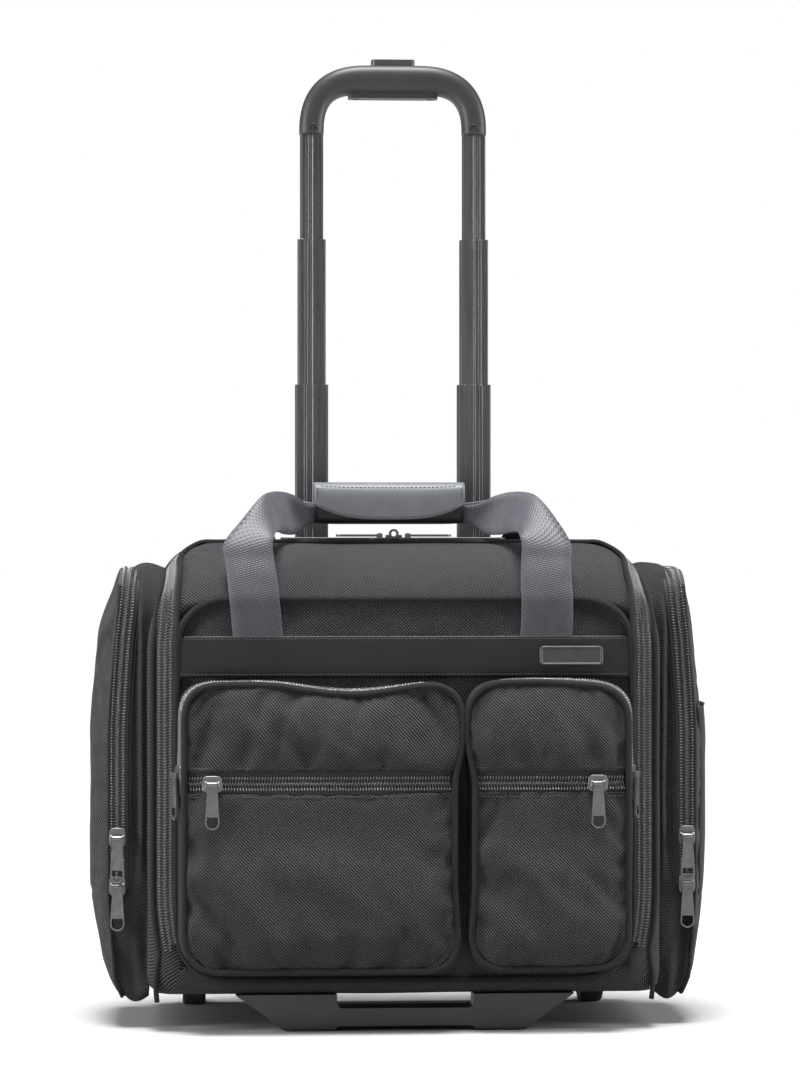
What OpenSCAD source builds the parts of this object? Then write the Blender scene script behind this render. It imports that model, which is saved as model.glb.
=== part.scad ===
// Soft-sided rolling pilot case on two rear wheels and a front stand, with a three-stage pull handle.
// Units are millimetres. +Z is up, the front faces -Y, and the origin is on the floor under the middle of the case.

/* [Case] */
// Width of the main compartment
case_w = 392; // [380:1:400]
// Front face of the case
case_front = -86; // [-90:1:-80]
// Back face of the case
case_back = 100; // [96:1:104]
// Height of the underside above the floor
case_bottom = 28; // [26:1:30]
// Height of the top of the case
case_top = 372; // [365:1:380]
// Thickness of the stiffened fabric walls
wall = 3; // [2:0.5:4]
// Radius of the shoulder between the front face and the top
shoulder_r = 75; // [60:1:80]

/* [Front pockets] */
// Depth of the pocket gussets, from the front panel to the piping
pocket_depth = 21.6; // [16:0.2:24]
// How far the pocket faces bulge past their piping
pocket_bulge = 5.8; // [2:0.2:7]
// Height of the pull-tab zips across the pocket faces
face_zip_z = 190; // [150:1:220]

/* [Side pockets] */
// Half of the overall width, over both side pockets
half_w = 237.5; // [225:0.5:250]
// Height of the top of the side pockets
side_top = 351; // [330:1:360]

/* [Pull handle] */
// Distance between the two tube centres
tube_gap = 131; // [110:1:140]
// Distance of the tubes behind the middle of the case
tube_y = 84; // [80:1:86]
// Height of the top of the lower stage, pulled out
lower_top = 499; // [470:1:500]
// Height of the top of the middle stage, pulled out
middle_top = 616; // [580:1:616]
// Height of the bottom of the grip, pulled out
grip_z = 701; // [660:1:701]
// Height of the top of the grip, pulled out
grip_top = 758; // [710:1:758]
// Outside width of the grip
grip_w = 151; // [149:0.5:152]

/* [Wheels] */
// Wheel radius
wheel_r = 28; // [24:0.5:28]
// Wheel width
wheel_w = 20; // [18:0.5:22]
// Distance of each wheel from the middle
wheel_x = 160; // [155:1:162]
// Distance of the wheel axles behind the middle
wheel_y = 90; // [88:1:92]

/* [Webbing] */
// Width of the carrying straps
web_w = 38; // [32:1:40]
// Thickness of the carrying straps
web_t = 2; // [1.5:0.5:2.5]

/* [Hidden] */
$fn = 48;

fabric = "dimgray";
leather = "darkslategray";
plastic = "black";
metal = "gray";

big = 400;                        // longer than any cut or extrusion needs
gap = 0.4;                        // between pieces that move apart
half_case = case_w / 2;
top_zip_y = -16;                  // the main zip's run across the top
corner_r = 26;                    // front corners of the case, seen from above
flap_side_y = case_front + corner_r * (1 - cos(45)); // the main zip's run down each side
flap_bottom = 36;                 // fold line of the front flap
lid_half = 178;                   // half width of the flap where it runs over the top
zip_half = 5.5;                   // width of each half of a zip chain
zip_t = 1.2;                      // height of a zip chain above the cloth
face_zip_t = 0.7;                 // height of the flatter chain across a pocket face
main_zip_end = 62;                // height of the lower ends of the main zip

// Front panel outline: left, bottom, right, top
panel = [-183, 39, 183, 329];
// Pocket outlines at the piping: left, bottom, right, top
left_pocket = [-166, 48, 42, 262];
right_pocket = [45.5, 49, 166, 263];
pocket_skin = 2;
pocket_flare = 8;                 // the pocket's foot is this much wider than its face on the outer side
slip_depth = 6.5;                 // the slip pocket stands this far off the right side pocket

// Tube sections of the pull handle, outermost first: width, depth, wall
outer_tube = [30.6, 22, 1.4];
lower_tube = [26.5, 18, 1.3];
middle_tube = [22.6, 14.2, 1.2];
upper_tube = [18.7, 10.6, 1.2];
tube_lap = 58;                    // length of each stage that stays inside the one below
bezel_z = case_top + 4;
lower_low = bezel_z - tube_lap;
middle_low = lower_top - tube_lap;
upper_low = middle_top - tube_lap;

// ---------------------------------------------------------------- outlines

function unit(v) = v / norm(v);

// An outline with each corner rounded over a distance c along both edges, by n straight steps
function soften(p, c, n = 5) = [for (i = [0:len(p) - 1])
    let (m = len(p), a = p[(i + m - 1) % m], b = p[i], d = p[(i + 1) % m],
         k = is_list(c) ? c[i] : c, s = b + k * unit(a - b), e = b + k * unit(d - b))
    for (j = [0:(k > 0 ? n : 0)])
        let (t = k > 0 ? j / n : 0) (1 - t) * (1 - t) * s + 2 * t * (1 - t) * b + t * t * e];

// The corners of a box given as left, bottom, right, top, grown by g
function corners(q, g = 0) = [[q[0] - g, q[1] - g], [q[2] + g, q[1] - g], [q[2] + g, q[3] + g],
                              [q[0] - g, q[3] + g]];

function arc(c, r, a0, a1, n) = [for (i = [0:n]) let (a = a0 + (a1 - a0) * i / n) c + r * [cos(a), sin(a)]];

// An outline in Y and Z, extruded along X from x0 to x1
module along_x(x0, x1) {
    translate([x0, 0, 0]) rotate([90, 0, 90]) linear_extrude(x1 - x0) children();
}

// An outline in X and Z, extruded along Y from y0 to y1
module along_y(y0, y1) {
    translate([0, y1, 0]) rotate([90, 0, 0]) linear_extrude(y1 - y0) children();
}

module mirror_copy() {
    children();
    mirror([1, 0, 0]) children();
}

// ---------------------------------------------------------------- case

// Side view of the case, grown by g: flat back and base, and a round shoulder at the top of the front
module case_side(g) {
    c = [top_zip_y, case_top - shoulder_r];
    r = shoulder_r + g;
    front = case_front - g;
    meet = acos((top_zip_y - front) / r);
    bottom = case_bottom - g;
    back = case_back + g;
    round = 12 + g;
    polygon(concat(
        arc(c, r, 90, 180 - meet, 10),
        arc([front + round, bottom + round], round, 180, 270, 4),
        arc([back - round, bottom + round], round, 270, 360, 4),
        arc([back - round, case_top + g - round], round, 0, 90, 4)));
}

// Front view of the case, grown by g: the sides lean in below rounded top corners
module case_face(g) {
    h = half_case + g;
    polygon(soften([[-h, case_bottom - g], [h, case_bottom - g], [h, case_top - 72], [h - 19, case_top + g],
        [19 - h, case_top + g], [-h, case_top - 72]], [14, 14, 25, 32, 32, 25], 5));
}

// The case seen from above, grown by g
module case_plan(g) {
    h = half_case + g;
    front = case_front - g;
    back = case_back + g;
    r = corner_r + g;
    polygon(concat(arc([-h + r, front + r], r, 180, 270, 8), arc([h - r, front + r], r, 270, 360, 8),
        arc([h - 18, back - 18], 18, 0, 90, 4), arc([18 - h, back - 18], 18, 90, 180, 4)));
}

module case_solid(g = 0) {
    intersection() {
        along_x(-half_case - g, half_case + g) case_side(g);
        along_y(-big, big) case_face(g);
        linear_extrude(big) case_plan(g);
    }
}

// The part of space that opens with the front flap, shrunk by g at the zip
module flap_space(g = 0) {
    translate([-big, -big, flap_bottom + gap / 2]) cube([2 * big, big + flap_side_y - g, big]);
    translate([-lid_half + g, -big, panel[3] - 9]) cube([2 * (lid_half - g), big + top_zip_y - g, big]);
}

module case_wall() {
    difference() {
        case_solid(0);
        case_solid(-wall);
    }
}

module wheel_bay() {
    translate([wheel_x - 19, wheel_y - 42, case_bottom - 20]) cube([38, 80, 56]);
}

module rear_shell() {
    color(fabric) difference() {
        case_wall();
        flap_space(-gap / 2);
        mirror_copy() wheel_bay();
        tube_pair() translate([-outer_tube[0] / 2 - 0.3, -outer_tube[1] / 2 - 0.3, case_top - 10])
            cube([outer_tube[0] + 0.6, outer_tube[1] + 0.6, 20]);
    }
}

module back_panel() {
    color(fabric) difference() {
        along_y(case_back, case_back + 2.5) polygon(soften(corners([-174, 44, 174, 346]), 24, 6));
        mirror_copy() wheel_bay();
    }
}

module base_board() {
    color(plastic) difference() {
        intersection() {
            case_solid(-wall);
            translate([-big, -big, case_bottom + wall]) cube([2 * big, 2 * big, 3]);
        }
        mirror_copy() wheel_bay();
    }
}

module lining_panel() {
    color(fabric) difference() {
        intersection() {
            case_solid(-wall);
            translate([-big, 66, case_bottom + wall + 3]) cube([2 * big, 3, big]);
        }
        mirror_copy() wheel_bay();
    }
}

// One side pocket on +X, grown by g, bulging out to x_max
zip_flat = 225.5;                 // the pocket's front is flat as far out as this, under the zip
module side_pocket_solid(x_max, g = 0) {
    difference() {
        intersection() {
            along_x(half_case - 12, x_max + g)
                polygon(soften(corners([-57, 24, 74, side_top], g), [16, 16, 30, 30], 5));
            along_y(-big, big) polygon([[0, 20 - g], [x_max - 9 + g, 20 - g], [x_max - 5 + g, 60],
                [x_max + g, 112], [x_max + g, 256], [x_max - 4 + g, 300],
                [x_max - 10 + g, 330], [x_max - 17 + g, side_top + g], [0, side_top + g]]);
            linear_extrude(big) polygon([[0, -57 - g], [zip_flat + g, -57 - g], [x_max - 5 + g, -50 - g],
                [x_max - 2 + g, -34], [x_max + g, -18], [x_max + g, 32], [x_max - 2 + g, 46],
                [x_max - 7 + g, 66 + g],
                [x_max - 14 + g, 74 + g], [0, 74 + g]]);
        }
        case_solid();
    }
}

module side_pocket(x_max) {
    color(fabric) difference() {
        side_pocket_solid(x_max);
        side_pocket_solid(x_max, -pocket_skin);
    }
}

// The zip chain round the front, top and back edges of a side pocket
module side_zip(x_max) {
    color(plastic) intersection() {
        difference() {
            side_pocket_solid(x_max, zip_t);
            side_pocket_solid(x_max);
        }
        translate([side_x - zip_half, -big / 2, 92]) cube([2 * zip_half, big, big]);
    }
}

// Open-topped pocket standing off the right side pocket
module slip_pocket() {
    color(fabric) difference() {
        intersection() {
            difference() {
                side_pocket_solid(half_w);
                side_pocket_solid(half_w - slip_depth);
            }
            translate([half_w - 16, -44, 34]) cube([30, 104, 212]);
        }
        intersection() {
            side_pocket_solid(half_w - 1.6);
            translate([half_w - 16, -42, 36]) cube([30, 100, 220]);
        }
    }
}

// One half of the main zip's chain, in a band beside the line where the flap parts from the case
module main_zip(front) {
    color(plastic) intersection() {
        difference() {
            case_solid(zip_t);
            case_solid(0);
        }
        difference() {
            flap_space(front ? gap / 2 : -zip_half);
            flap_space(front ? zip_half : -gap / 2);
        }
        translate([-big, -big, main_zip_end]) cube([2 * big, 2 * big, big]);
        if (front) difference() {
            cube(4 * big, center = true);
            along_y(case_front - 2, case_front + wall + 1)
                polygon(soften(corners(panel, 0.02), [40, 40, 34, 34], 6));
        }
    }
}

// ---------------------------------------------------------------- front flap

module front_panel() {
    color(fabric) along_y(case_front, case_front + wall) polygon(soften(corners(panel), [40, 40, 34, 34], 6));
}

module front_shell() {
    color(fabric) difference() {
        intersection() {
            case_wall();
            flap_space(gap / 2);
        }
        along_y(case_front - 1, case_front + wall + 1)
            polygon(soften(corners(panel, 0.02), [40, 40, 34, 34], 6));
    }
}

module leather_band() {
    color(leather) along_y(case_front - 2, case_front)
        polygon(corners([-174, 269, 174, 301]));
}

module badge() {
    color(metal) along_y(case_front - 5, case_front - 2) polygon(soften(corners([102, 278, 150.5, 293]), 2.5, 3));
}

// A pocket's outer form, grown by g: a wide foot on the front panel, an edge at the piping and a bulged
// face. side is -1 for the left pocket and 1 for the right; the foot is widest on that side.
pocket_edge = case_front - pocket_depth;
pocket_face = pocket_edge - pocket_bulge;
module pocket_solid(q, side, g = 0) {
    foot = [q[0] - (side < 0 ? pocket_flare : 1), q[1], q[2] + (side < 0 ? 1 : pocket_flare), q[3] + 5];
    face = [q[0] + 6, q[1] + 26, q[2] - 6, q[3] - 26];
    hull() {
        along_y(case_front - 1, case_front + (g < 0 ? 0.1 : 0)) polygon(soften(corners(foot, g), 30, 5));
        along_y(pocket_edge - g, pocket_edge + 2 - g) polygon(soften(corners(q, g), 28, 5));
        along_y(pocket_face - g, pocket_face + 1 - g) polygon(soften(corners(face, g), 12, 3));
    }
}

// Opening of the zip across a pocket's face
function zip_slot(q) = [q[0] + 10, face_zip_z - 8, q[2] - 10, face_zip_z + 8];

module pocket(q, side) {
    color(fabric) difference() {
        pocket_solid(q, side);
        pocket_solid(q, side, -pocket_skin);
        along_y(-big, pocket_face + 4) polygon(corners(zip_slot(q)));
    }
}

// A zip tape behind the pocket's face, and the chain along its middle
module face_zip(q) {
    y = pocket_face + pocket_skin;
    slot = zip_slot(q);
    color(plastic) {
        along_y(y, y + 1.2) polygon(corners([slot[0] - 1.5, slot[1] - 3, slot[2] + 1.5, slot[3] + 3]));
        along_y(y - face_zip_t, y) polygon(corners([slot[0] + 0.5, face_zip_z - 3.5, slot[2] - 0.5,
            face_zip_z + 3.5]));
    }
}

// The zip up the outer side and over the top of a pocket; side is -1 for the left pocket and 1 for the right
module pocket_zip(q, side) {
    x0 = side < 0 ? q[0] - 20 : q[2] + 20;
    x1 = side < 0 ? q[0] + 20 : q[2] - 20;
    x2 = side < 0 ? q[2] - 25 : q[0] + 25;
    color(plastic) intersection() {
        difference() {
            pocket_solid(q, side, zip_t);
            pocket_solid(q, side);
        }
        along_y(pocket_side_y - zip_half, pocket_side_y + zip_half) polygon([[x0, 180], [x1, 180],
            [x1, q[3] - 30], [x2, q[3] - 30], [x2, q[3] + 20], [x0, q[3] + 20]]);
    }
}

// ---------------------------------------------------------------- carrying straps

// A ribbon through stations, each given as its middle, its direction across and its width
function station_frame(s, i) =
    let (n = len(s), before = s[max(i - 1, 0)][0], after = s[min(i + 1, n - 1)][0],
         along = unit(after - before), face = unit(cross(along, unit(s[i][1]))))
    [unit(cross(face, along)), face];

module ribbon(s, thick) {
    n = len(s);
    points = [for (i = [0:n - 1]) let (f = station_frame(s, i), w = f[0] * s[i][2] / 2, t = f[1] * thick / 2)
        each [s[i][0] - w - t, s[i][0] + w - t, s[i][0] + w + t, s[i][0] - w + t]];
    sides = [for (i = [0:n - 2], k = [0:3]) let (a = 4 * i + k, b = 4 * i + (k + 1) % 4)
        each [[a, b, b + 4], [a, b + 4, a + 4]]];
    ends = [[3, 2, 1], [3, 1, 0], [4 * n - 4, 4 * n - 3, 4 * n - 2], [4 * n - 4, 4 * n - 2, 4 * n - 1]];
    polyhedron(points = points, faces = concat(ends, sides), convexity = 6);
}

// Left half of the front strap: up the panel, over the shoulder, twisted and in to the wrap
front_y = case_front - web_t / 2;
front_half = [
    [[-112, front_y, 301], [1, 0, 0], web_w],
    [[-112, front_y, 313], [1, 0, 0], web_w],
    [[-112, front_y, 330], [1, 0, 0], web_w],
    [[-113, front_y + 1, 345], [1, 0, 0], web_w],
    [[-115, front_y + 6, 361], [1, 0.1, 0], web_w],
    [[-117, front_y + 15, 378], [1, 0.25, 0.05], web_w],
    [[-117, front_y + 27, 393], [0.9, 0.6, 0.1], web_w],
    [[-114, front_y + 37, 402], [0.6, 1, 0.1], web_w],
    [[-106, front_y + 46, 406], [0.2, 1, -0.2], web_w],
    [[-95, front_y + 54, 405], [0, 1, -0.6], web_w],
    [[-83, front_y + 61, 402], [0, 0.5, -1], web_w - 4],
    [[-70, front_y + 65, 400.5], [0, 0.1, -1], web_w - 8],
    [[-50, front_y + 66, 400.5], [0, 0, -1], web_w - 7]];

// Left half of the rear strap, which lies behind the wrap
back_y = case_back + 2.5 + web_t / 2;
rear_half = [
    [[-112, back_y, 290], [-1, 0, 0], web_w],
    [[-112, back_y, 320], [-1, 0, 0], web_w],
    [[-112, back_y, 352], [-1, 0, 0], web_w],
    [[-113, back_y - 3, 368], [-1, 0, 0], web_w],
    [[-115, back_y - 12, 384], [-1, 0.1, 0], web_w],
    [[-116, back_y - 28, 397], [-1, 0.5, 0.3], web_w],
    [[-113, back_y - 45, 404], [-0.8, 0.9, 0.3], web_w],
    [[-106, back_y - 62, 406], [-0.4, 1, 0.1], web_w],
    [[-96, back_y - 79, 405], [-0.1, 1, -0.4], web_w],
    [[-82, back_y - 93, 402], [0, 0.7, -0.8], web_w],
    [[-66, back_y - 102, 400], [0, 0.3, -1], web_w - 4],
    [[-48, back_y - 105, 400], [0, 0, -1], web_w - 6]];

strap_mid = -9;   // the straps meet a little left of the middle

// Both halves of a strap as one list
function whole_strap(half) = concat(half,
    [for (i = [len(half) - 1:-1:0]) let (p = half[i][0], v = half[i][1])
        [[2 * strap_mid - p[0] + 14 * (1 - exp(-pow((p[0] + 50) / 30, 2))), p[1], p[2]],
         [-v[0], v[1], v[2]], half[i][2]]]);

module front_strap() {
    color(fabric) ribbon(whole_strap(front_half), web_t);
}

module rear_strap() {
    color(fabric) ribbon(whole_strap(rear_half), web_t);
}

// Leather sleeve folded round the front strap
module handle_wrap() {
    color(leather) difference() {
        along_x(strap_mid - 58, strap_mid + 58)
            polygon(soften(corners([case_front + 57, 383, case_front + 73, 418]), 5, 4));
        along_x(strap_mid - 59, strap_mid + 59)
            polygon(soften(corners([case_front + 59, 385, case_front + 71, 416]), 4, 4));
    }
}

// ---------------------------------------------------------------- pull handle

module tube_pair() {
    mirror_copy() translate([-tube_gap / 2, tube_y, 0]) children();
}

// Section inside a tube on the left: flat front, with a bevel towards the middle of the case
function bore_outline(w, d) = soften([[-w / 2, -d / 2], [1.5, -d / 2], [w / 2, -d / 2 + (w / 2 - 1.5) * 0.3],
    [w / 2, d / 2], [-w / 2, d / 2]], [2.2, 1, 1.6, 2.2, 2.2], 3);

// Section outside a tube on the left: the same, with two fine grooves down its front
function tube_outline(w, d) = let (f = -d / 2, g = f + 0.6, x = -w * 0.2)
    soften([[-w / 2, f], [x - 1.2, f], [x - 0.8, g], [x + 0.8, g], [x + 1.2, f], [-0.9, f], [-0.6, g], [0.4, g],
        [0.7, f], [1.5, f], [w / 2, f + (w / 2 - 1.5) * 0.3], [w / 2, d / 2], [-w / 2, d / 2]],
        [2.2, 0, 0, 0, 0, 0, 0, 0, 0, 0, 1.6, 2.2, 2.2], 3);

module tube(t, z0, z1) {
    translate([0, 0, z0]) linear_extrude(z1 - z0) difference() {
        polygon(tube_outline(t[0], t[1]));
        polygon(bore_outline(t[0] - 2 * t[2], t[1] - 2 * t[2]));
    }
}

pin_r = 2.4;
pin_rise = 12;   // height of a locking pin above the lower end of its tube

// Cuts the hole that a locking pin at height z shows in
module pin_hole(z, t) {
    translate([-t[0] / 2 - 1, 0, z]) rotate([0, 90, 0]) cylinder(r = pin_r + 0.2, h = t[2] + 2);
}

module outer_tubes() {
    color(metal) tube_pair() tube(outer_tube, 50, case_top);
}

module lower_tubes() {
    color(metal) tube_pair() difference() {
        tube(lower_tube, lower_low, lower_top);
        pin_hole(middle_low + pin_rise, lower_tube);
    }
}

module middle_tubes() {
    color(metal) tube_pair() difference() {
        tube(middle_tube, middle_low, middle_top);
        pin_hole(upper_low + pin_rise, middle_tube);
    }
}

module upper_tubes() {
    color(metal) tube_pair() difference() {
        tube(upper_tube, upper_low, grip_z);
        pin_hole(upper_low + pin_rise, upper_tube);
    }
}

module lock_pins() {
    color(plastic) tube_pair() translate([0, 0, upper_low]) {
        translate([-upper_tube[0] / 2 + 0.1, 0, pin_rise]) rotate([0, 90, 0]) cylinder(r = pin_r, h = 6);
        translate([-upper_tube[0] / 2 + 3, -3, pin_rise - 6]) cube([11, 6, 12]);
    }
}

module trolley_bezel() {
    w = tube_gap + 50;
    color(plastic) difference() {
        translate([0, 0, case_top]) linear_extrude(bezel_z - case_top)
            polygon(soften(corners([-w / 2, tube_y - 16, w / 2, tube_y + 14]), 9, 4));
        tube_pair() translate([0, 0, case_top - 1])
            linear_extrude(10) polygon(bore_outline(lower_tube[0] + 0.8, lower_tube[1] + 0.8));
    }
}

module tube_bracket() {
    w = tube_gap + 44;
    color(plastic) translate([-w / 2, 71, 34]) cube([w, 22, 16]);
}

button_w = 35;
button_d = 13;
button_travel = 3;
grip_d = 25;

// Front view of the grip: an arch with a wide top bar, grown by g
module grip_front(g = 0) {
    h = grip_w / 2;
    leg = 19.8;
    polygon(concat(
        soften([[-h - g, grip_z], [-h - g, grip_top + g], [h + g, grip_top + g], [h + g, grip_z]],
            [0, 46, 46, 0], 8),
        soften([[h - leg - g, grip_z], [h - leg - g, grip_top - 27 - g], [-h + leg + g, grip_top - 27 - g],
            [-h + leg + g, grip_z]], [0, 24, 24, 0], 8)));
}

module grip() {
    color(plastic) difference() {
        union() {
            intersection() {
                along_y(tube_y - grip_d / 2, tube_y + grip_d / 2) grip_front();
                linear_extrude(2 * big) polygon(soften(
                    corners([-grip_w / 2, tube_y - grip_d / 2, grip_w / 2, tube_y + grip_d / 2]), 7, 4));
            }
            tube_pair() translate([0, 0, grip_z - 22]) linear_extrude(24)
                polygon(bore_outline(upper_tube[0] - 2 * upper_tube[2] - 0.3,
                                     upper_tube[1] - 2 * upper_tube[2] - 0.3));
        }
        translate([-button_w / 2 - 0.4, tube_y - button_d / 2 - 0.4, grip_top - 16])
            cube([button_w + 0.8, button_d + 0.8, 20]);
        translate([-36.2, tube_y - 8.2, grip_top - 30]) cube([72.4, 16.4, 7]);
    }
}

module grip_cover() {
    color(plastic) difference() {
        translate([0, tube_y, grip_top - 28.5])
            linear_extrude(5.5) polygon(soften(corners([-36, -8, 36, 8]), 4, 3));
        for (x = [-30, 30]) translate([x, tube_y, grip_top - 30]) cylinder(r = 2.5, h = 4);
    }
}

module grip_button() {
    color(plastic) translate([0, tube_y, grip_top - 12])
        linear_extrude(12 + button_travel) polygon(soften(
            corners([-button_w / 2, -button_d / 2, button_w / 2, button_d / 2]), 4, 4));
}

// ---------------------------------------------------------------- wheels and stand

axle_r = 3;
hub_r = 19;

module wheel_turn() {
    translate([wheel_x, wheel_y, wheel_r]) rotate([0, 90, 0]) children();
}

module tyre() {
    w = wheel_w / 2;
    color(plastic) wheel_turn() rotate_extrude()
        polygon(soften([[hub_r, -w + 2], [wheel_r, -w], [wheel_r, w], [hub_r, w - 2]], [0, 4, 4, 0], 4));
}

module hub() {
    w = wheel_w / 2;
    color(metal) wheel_turn() difference() {
        union() {
            cylinder(r = hub_r, h = wheel_w - 4, center = true);
            cylinder(r = 7, h = wheel_w, center = true);
        }
        for (z = [-w - 1, w - 5]) translate([0, 0, z]) difference() {
            cylinder(r = hub_r - 3, h = 6);
            translate([0, 0, -1]) cylinder(r = 7, h = 8);
        }
        cylinder(r = axle_r + 0.06, h = wheel_w + 2, center = true);
    }
}

module wheel_axles() {
    color(metal) mirror_copy() wheel_turn() {
        cylinder(r = axle_r, h = 34, center = true);
        translate([0, 0, 17]) cylinder(r = 5, h = 1.8);
    }
}

module wheel_housing() {
    x0 = wheel_x - 19;
    color(plastic) difference() {
        union() {
            translate([x0, wheel_y - 42, case_bottom]) cube([38, 54, 36]);
            translate([x0, wheel_y - 10, case_bottom - 12]) cube([38, 20, 14]);
        }
        wheel_turn() cylinder(r = wheel_r + 3, h = wheel_w + 3, center = true);
        translate([x0 + 7.5, wheel_y - 60, -1]) cube([wheel_w + 3, 60, case_bottom + 1]);
        wheel_turn() cylinder(r = axle_r, h = 60, center = true);
        translate([wheel_x + 17, wheel_y, wheel_r]) rotate([0, 90, 0]) cylinder(r = 5.2, h = 10);
    }
}

// The stand under the front: two sloped feet joined by a carrying bar
stand_y = [-84, -56];
module front_stand() {
    top = case_bottom;
    outline = [[-129, top], [-104, 10], [-92, 0], [-54, 0], [-52, 4], [52, 4], [54, 0], [92, 0],
        [104, 10], [129, top], [52, top], [52, 17.5], [-52, 17.5], [-52, top]];
    color(plastic) intersection() {
        along_y(stand_y[0], stand_y[1])
            polygon(soften(outline, [0, 10, 5, 1.5, 2, 2, 1.5, 5, 10, 0, 0, 4, 4, 0], 4));
        along_x(-big, big) polygon(soften([[stand_y[0], top], [stand_y[0], 0], [stand_y[1], 0],
            [stand_y[1], top]], [0, 3, 6, 0], 4));
    }
}

// Heads of the screws that hold the stand, the wheel housings and the tube bracket
module base_screws() {
    z = case_bottom + wall + 3;
    spots = [[70, -68], [112, -68], [wheel_x - 27, 58], [60, 60]];
    color(metal) mirror_copy() for (p = spots) translate([p[0], p[1], z]) cylinder(r = 3.5, h = 1.8);
}

// ---------------------------------------------------------------- zip sliders and pulls

slider_l = 15;
slider_w = 12.5;
rod_r = 1.1;
eye_r = 1.9;
pull_l = 34;
rod_z = 4;        // height of a pull's hinge above the chain

// In each slider's own frame, +Z is away from the cloth, X is the pull's hinge and the pull hangs to -Y.
// lengthwise is true where the zip runs along Y; rod is the height of the hinge.
module slider(lengthwise = true, rod = rod_z) {
    size = lengthwise ? [slider_w, slider_l] : [slider_l, slider_w];
    color(metal) {
        translate([0, 0, 0.3]) linear_extrude(1.4)
            polygon(soften(corners([-size[0] / 2, -size[1] / 2, size[0] / 2, size[1] / 2]), 4, 3));
        for (x = [-5.2, 4]) translate([x, -2, 1]) cube([1.2, 4, rod + 0.4]);
        translate([-4.5, 0, rod]) rotate([0, 90, 0]) cylinder(r = rod_r, h = 9);
    }
}

// Outline of a pull, drawn in by g: narrow at the eye, with a round lower end
function pull_outline(g) = concat([[3.6 - g, -g * 2.2], [-3.6 + g, -g * 2.2]],
    arc([0, -pull_l + 5.5], 5.5 - g, 184, 356, 12));

module pull(rod = rod_z) {
    rim = 1.1;
    color(metal) translate([0, 0, rod]) difference() {
        union() {
            rotate([0, 90, 0]) cylinder(r = eye_r, h = 7.4, center = true);
            difference() {
                translate([0, 0, -0.9]) linear_extrude(1.8) polygon(pull_outline(0));
                for (z = [-1, 0.5]) translate([0, 0, z]) linear_extrude(0.5) polygon(pull_outline(rim));
                translate([0, 0, -2]) linear_extrude(4) intersection() {
                    polygon(pull_outline(rim));
                    translate([-6, -pull_l]) square([12, 9.5]);
                }
            }
        }
        rotate([0, 90, 0]) cylinder(r = rod_r + 0.08, h = 9, center = true);
    }
}

// The eye on each main slider that a padlock's shackle goes through
module lock_eye() {
    color(metal) translate([0.4, slider_l / 2 - 3, 0.5]) difference() {
        union() {
            cube([1.8, 6, 4]);
            translate([0, 6.5, 4.8]) rotate([0, 90, 0]) cylinder(r = 3.8, h = 1.8);
        }
        translate([-1, 6.5, 4.8]) rotate([0, 90, 0]) cylinder(r = 2, h = 4);
    }
}

main_x = -5;                            // where the main sliders meet
main_z = case_top + zip_t;
side_face = -57 - zip_t;
side_x = 219;
face_y = pocket_face + pocket_skin - face_zip_t;
pocket_side_y = case_front - 11;
gusset_run = pocket_depth + zip_t - 1;  // the gusset's sloping part, front to back

module at_main(side) {
    translate([main_x + side * 11, top_zip_y, main_z]) rotate([0, 0, side * 90]) children();
}
module at_side(side, z) {
    translate([side * side_x, side_face, z]) rotate([90, 0, 0]) children();
}
module at_face(x) {
    translate([x, face_y, face_zip_z]) rotate([90, 0, 0]) children();
}
module at_pocket(side) {
    edge = side < 0 ? left_pocket[0] : right_pocket[2];
    out = pocket_flare + zip_t - pocket_flare * (case_front - 1 - pocket_side_y) / gusset_run;
    tilt = atan2(pocket_flare, gusset_run);
    translate([edge + side * out, pocket_side_y, 196]) rotate([90, 0, side * (90 - tilt)]) children();
}

upper_z = 146;
lower_z = 109;
upper_rod = 7.2;
face_left_x = -147;
face_right_x = 144;

// ---------------------------------------------------------------- the model

rear_shell();
back_panel();
base_board();
lining_panel();
mirror([1, 0, 0]) side_pocket(half_w);  // side_pocket_left
side_pocket(half_w - slip_depth);  // side_pocket_right
union() {  // side_zips
    mirror([1, 0, 0]) side_zip(half_w);
    side_zip(half_w - slip_depth);
}
slip_pocket();
outer_tubes();
trolley_bezel();
tube_bracket();
mirror([1, 0, 0]) wheel_housing();  // wheel_housing_left
wheel_housing();  // wheel_housing_right
front_stand();
base_screws();
rear_strap();
main_zip(false);  // main_zip_rear
wheel_axles();
mirror([1, 0, 0]) tyre();  // tyre_left
mirror([1, 0, 0]) hub();  // hub_left
tyre();  // tyre_right
hub();  // hub_right
lower_tubes();
middle_tubes();
upper_tubes();
lock_pins();
grip();
grip_cover();
grip_button();
front_panel();
front_shell();
main_zip(true);  // main_zip_front
leather_band();
badge();
pocket(left_pocket, -1);  // pocket_left
pocket(right_pocket, 1);  // pocket_right
union() {  // pocket_zips
    pocket_zip(left_pocket, -1);
    pocket_zip(right_pocket, 1);
}
union() {  // face_zips
    face_zip(left_pocket);
    face_zip(right_pocket);
}
front_strap();
handle_wrap();
at_main(-1) { slider(); lock_eye(); }  // slider_main_left
at_main(1) { slider(); lock_eye(); }  // slider_main_right
at_side(-1, upper_z) slider(true, upper_rod);  // slider_side_left_upper
at_side(-1, lower_z) slider();  // slider_side_left_lower
at_side(1, upper_z) slider(true, upper_rod);  // slider_side_right_upper
at_side(1, lower_z) slider();  // slider_side_right_lower
at_face(face_left_x) slider(false);  // slider_face_left
at_face(face_right_x) slider(false);  // slider_face_right
at_pocket(-1) slider();  // slider_pocket_left
at_pocket(1) slider();  // slider_pocket_right
at_main(-1) pull();  // pull_main_left
at_main(1) pull();  // pull_main_right
at_side(-1, upper_z) pull(upper_rod);  // pull_side_left_upper
at_side(-1, lower_z) pull();  // pull_side_left_lower
at_side(1, upper_z) pull(upper_rod);  // pull_side_right_upper
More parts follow.
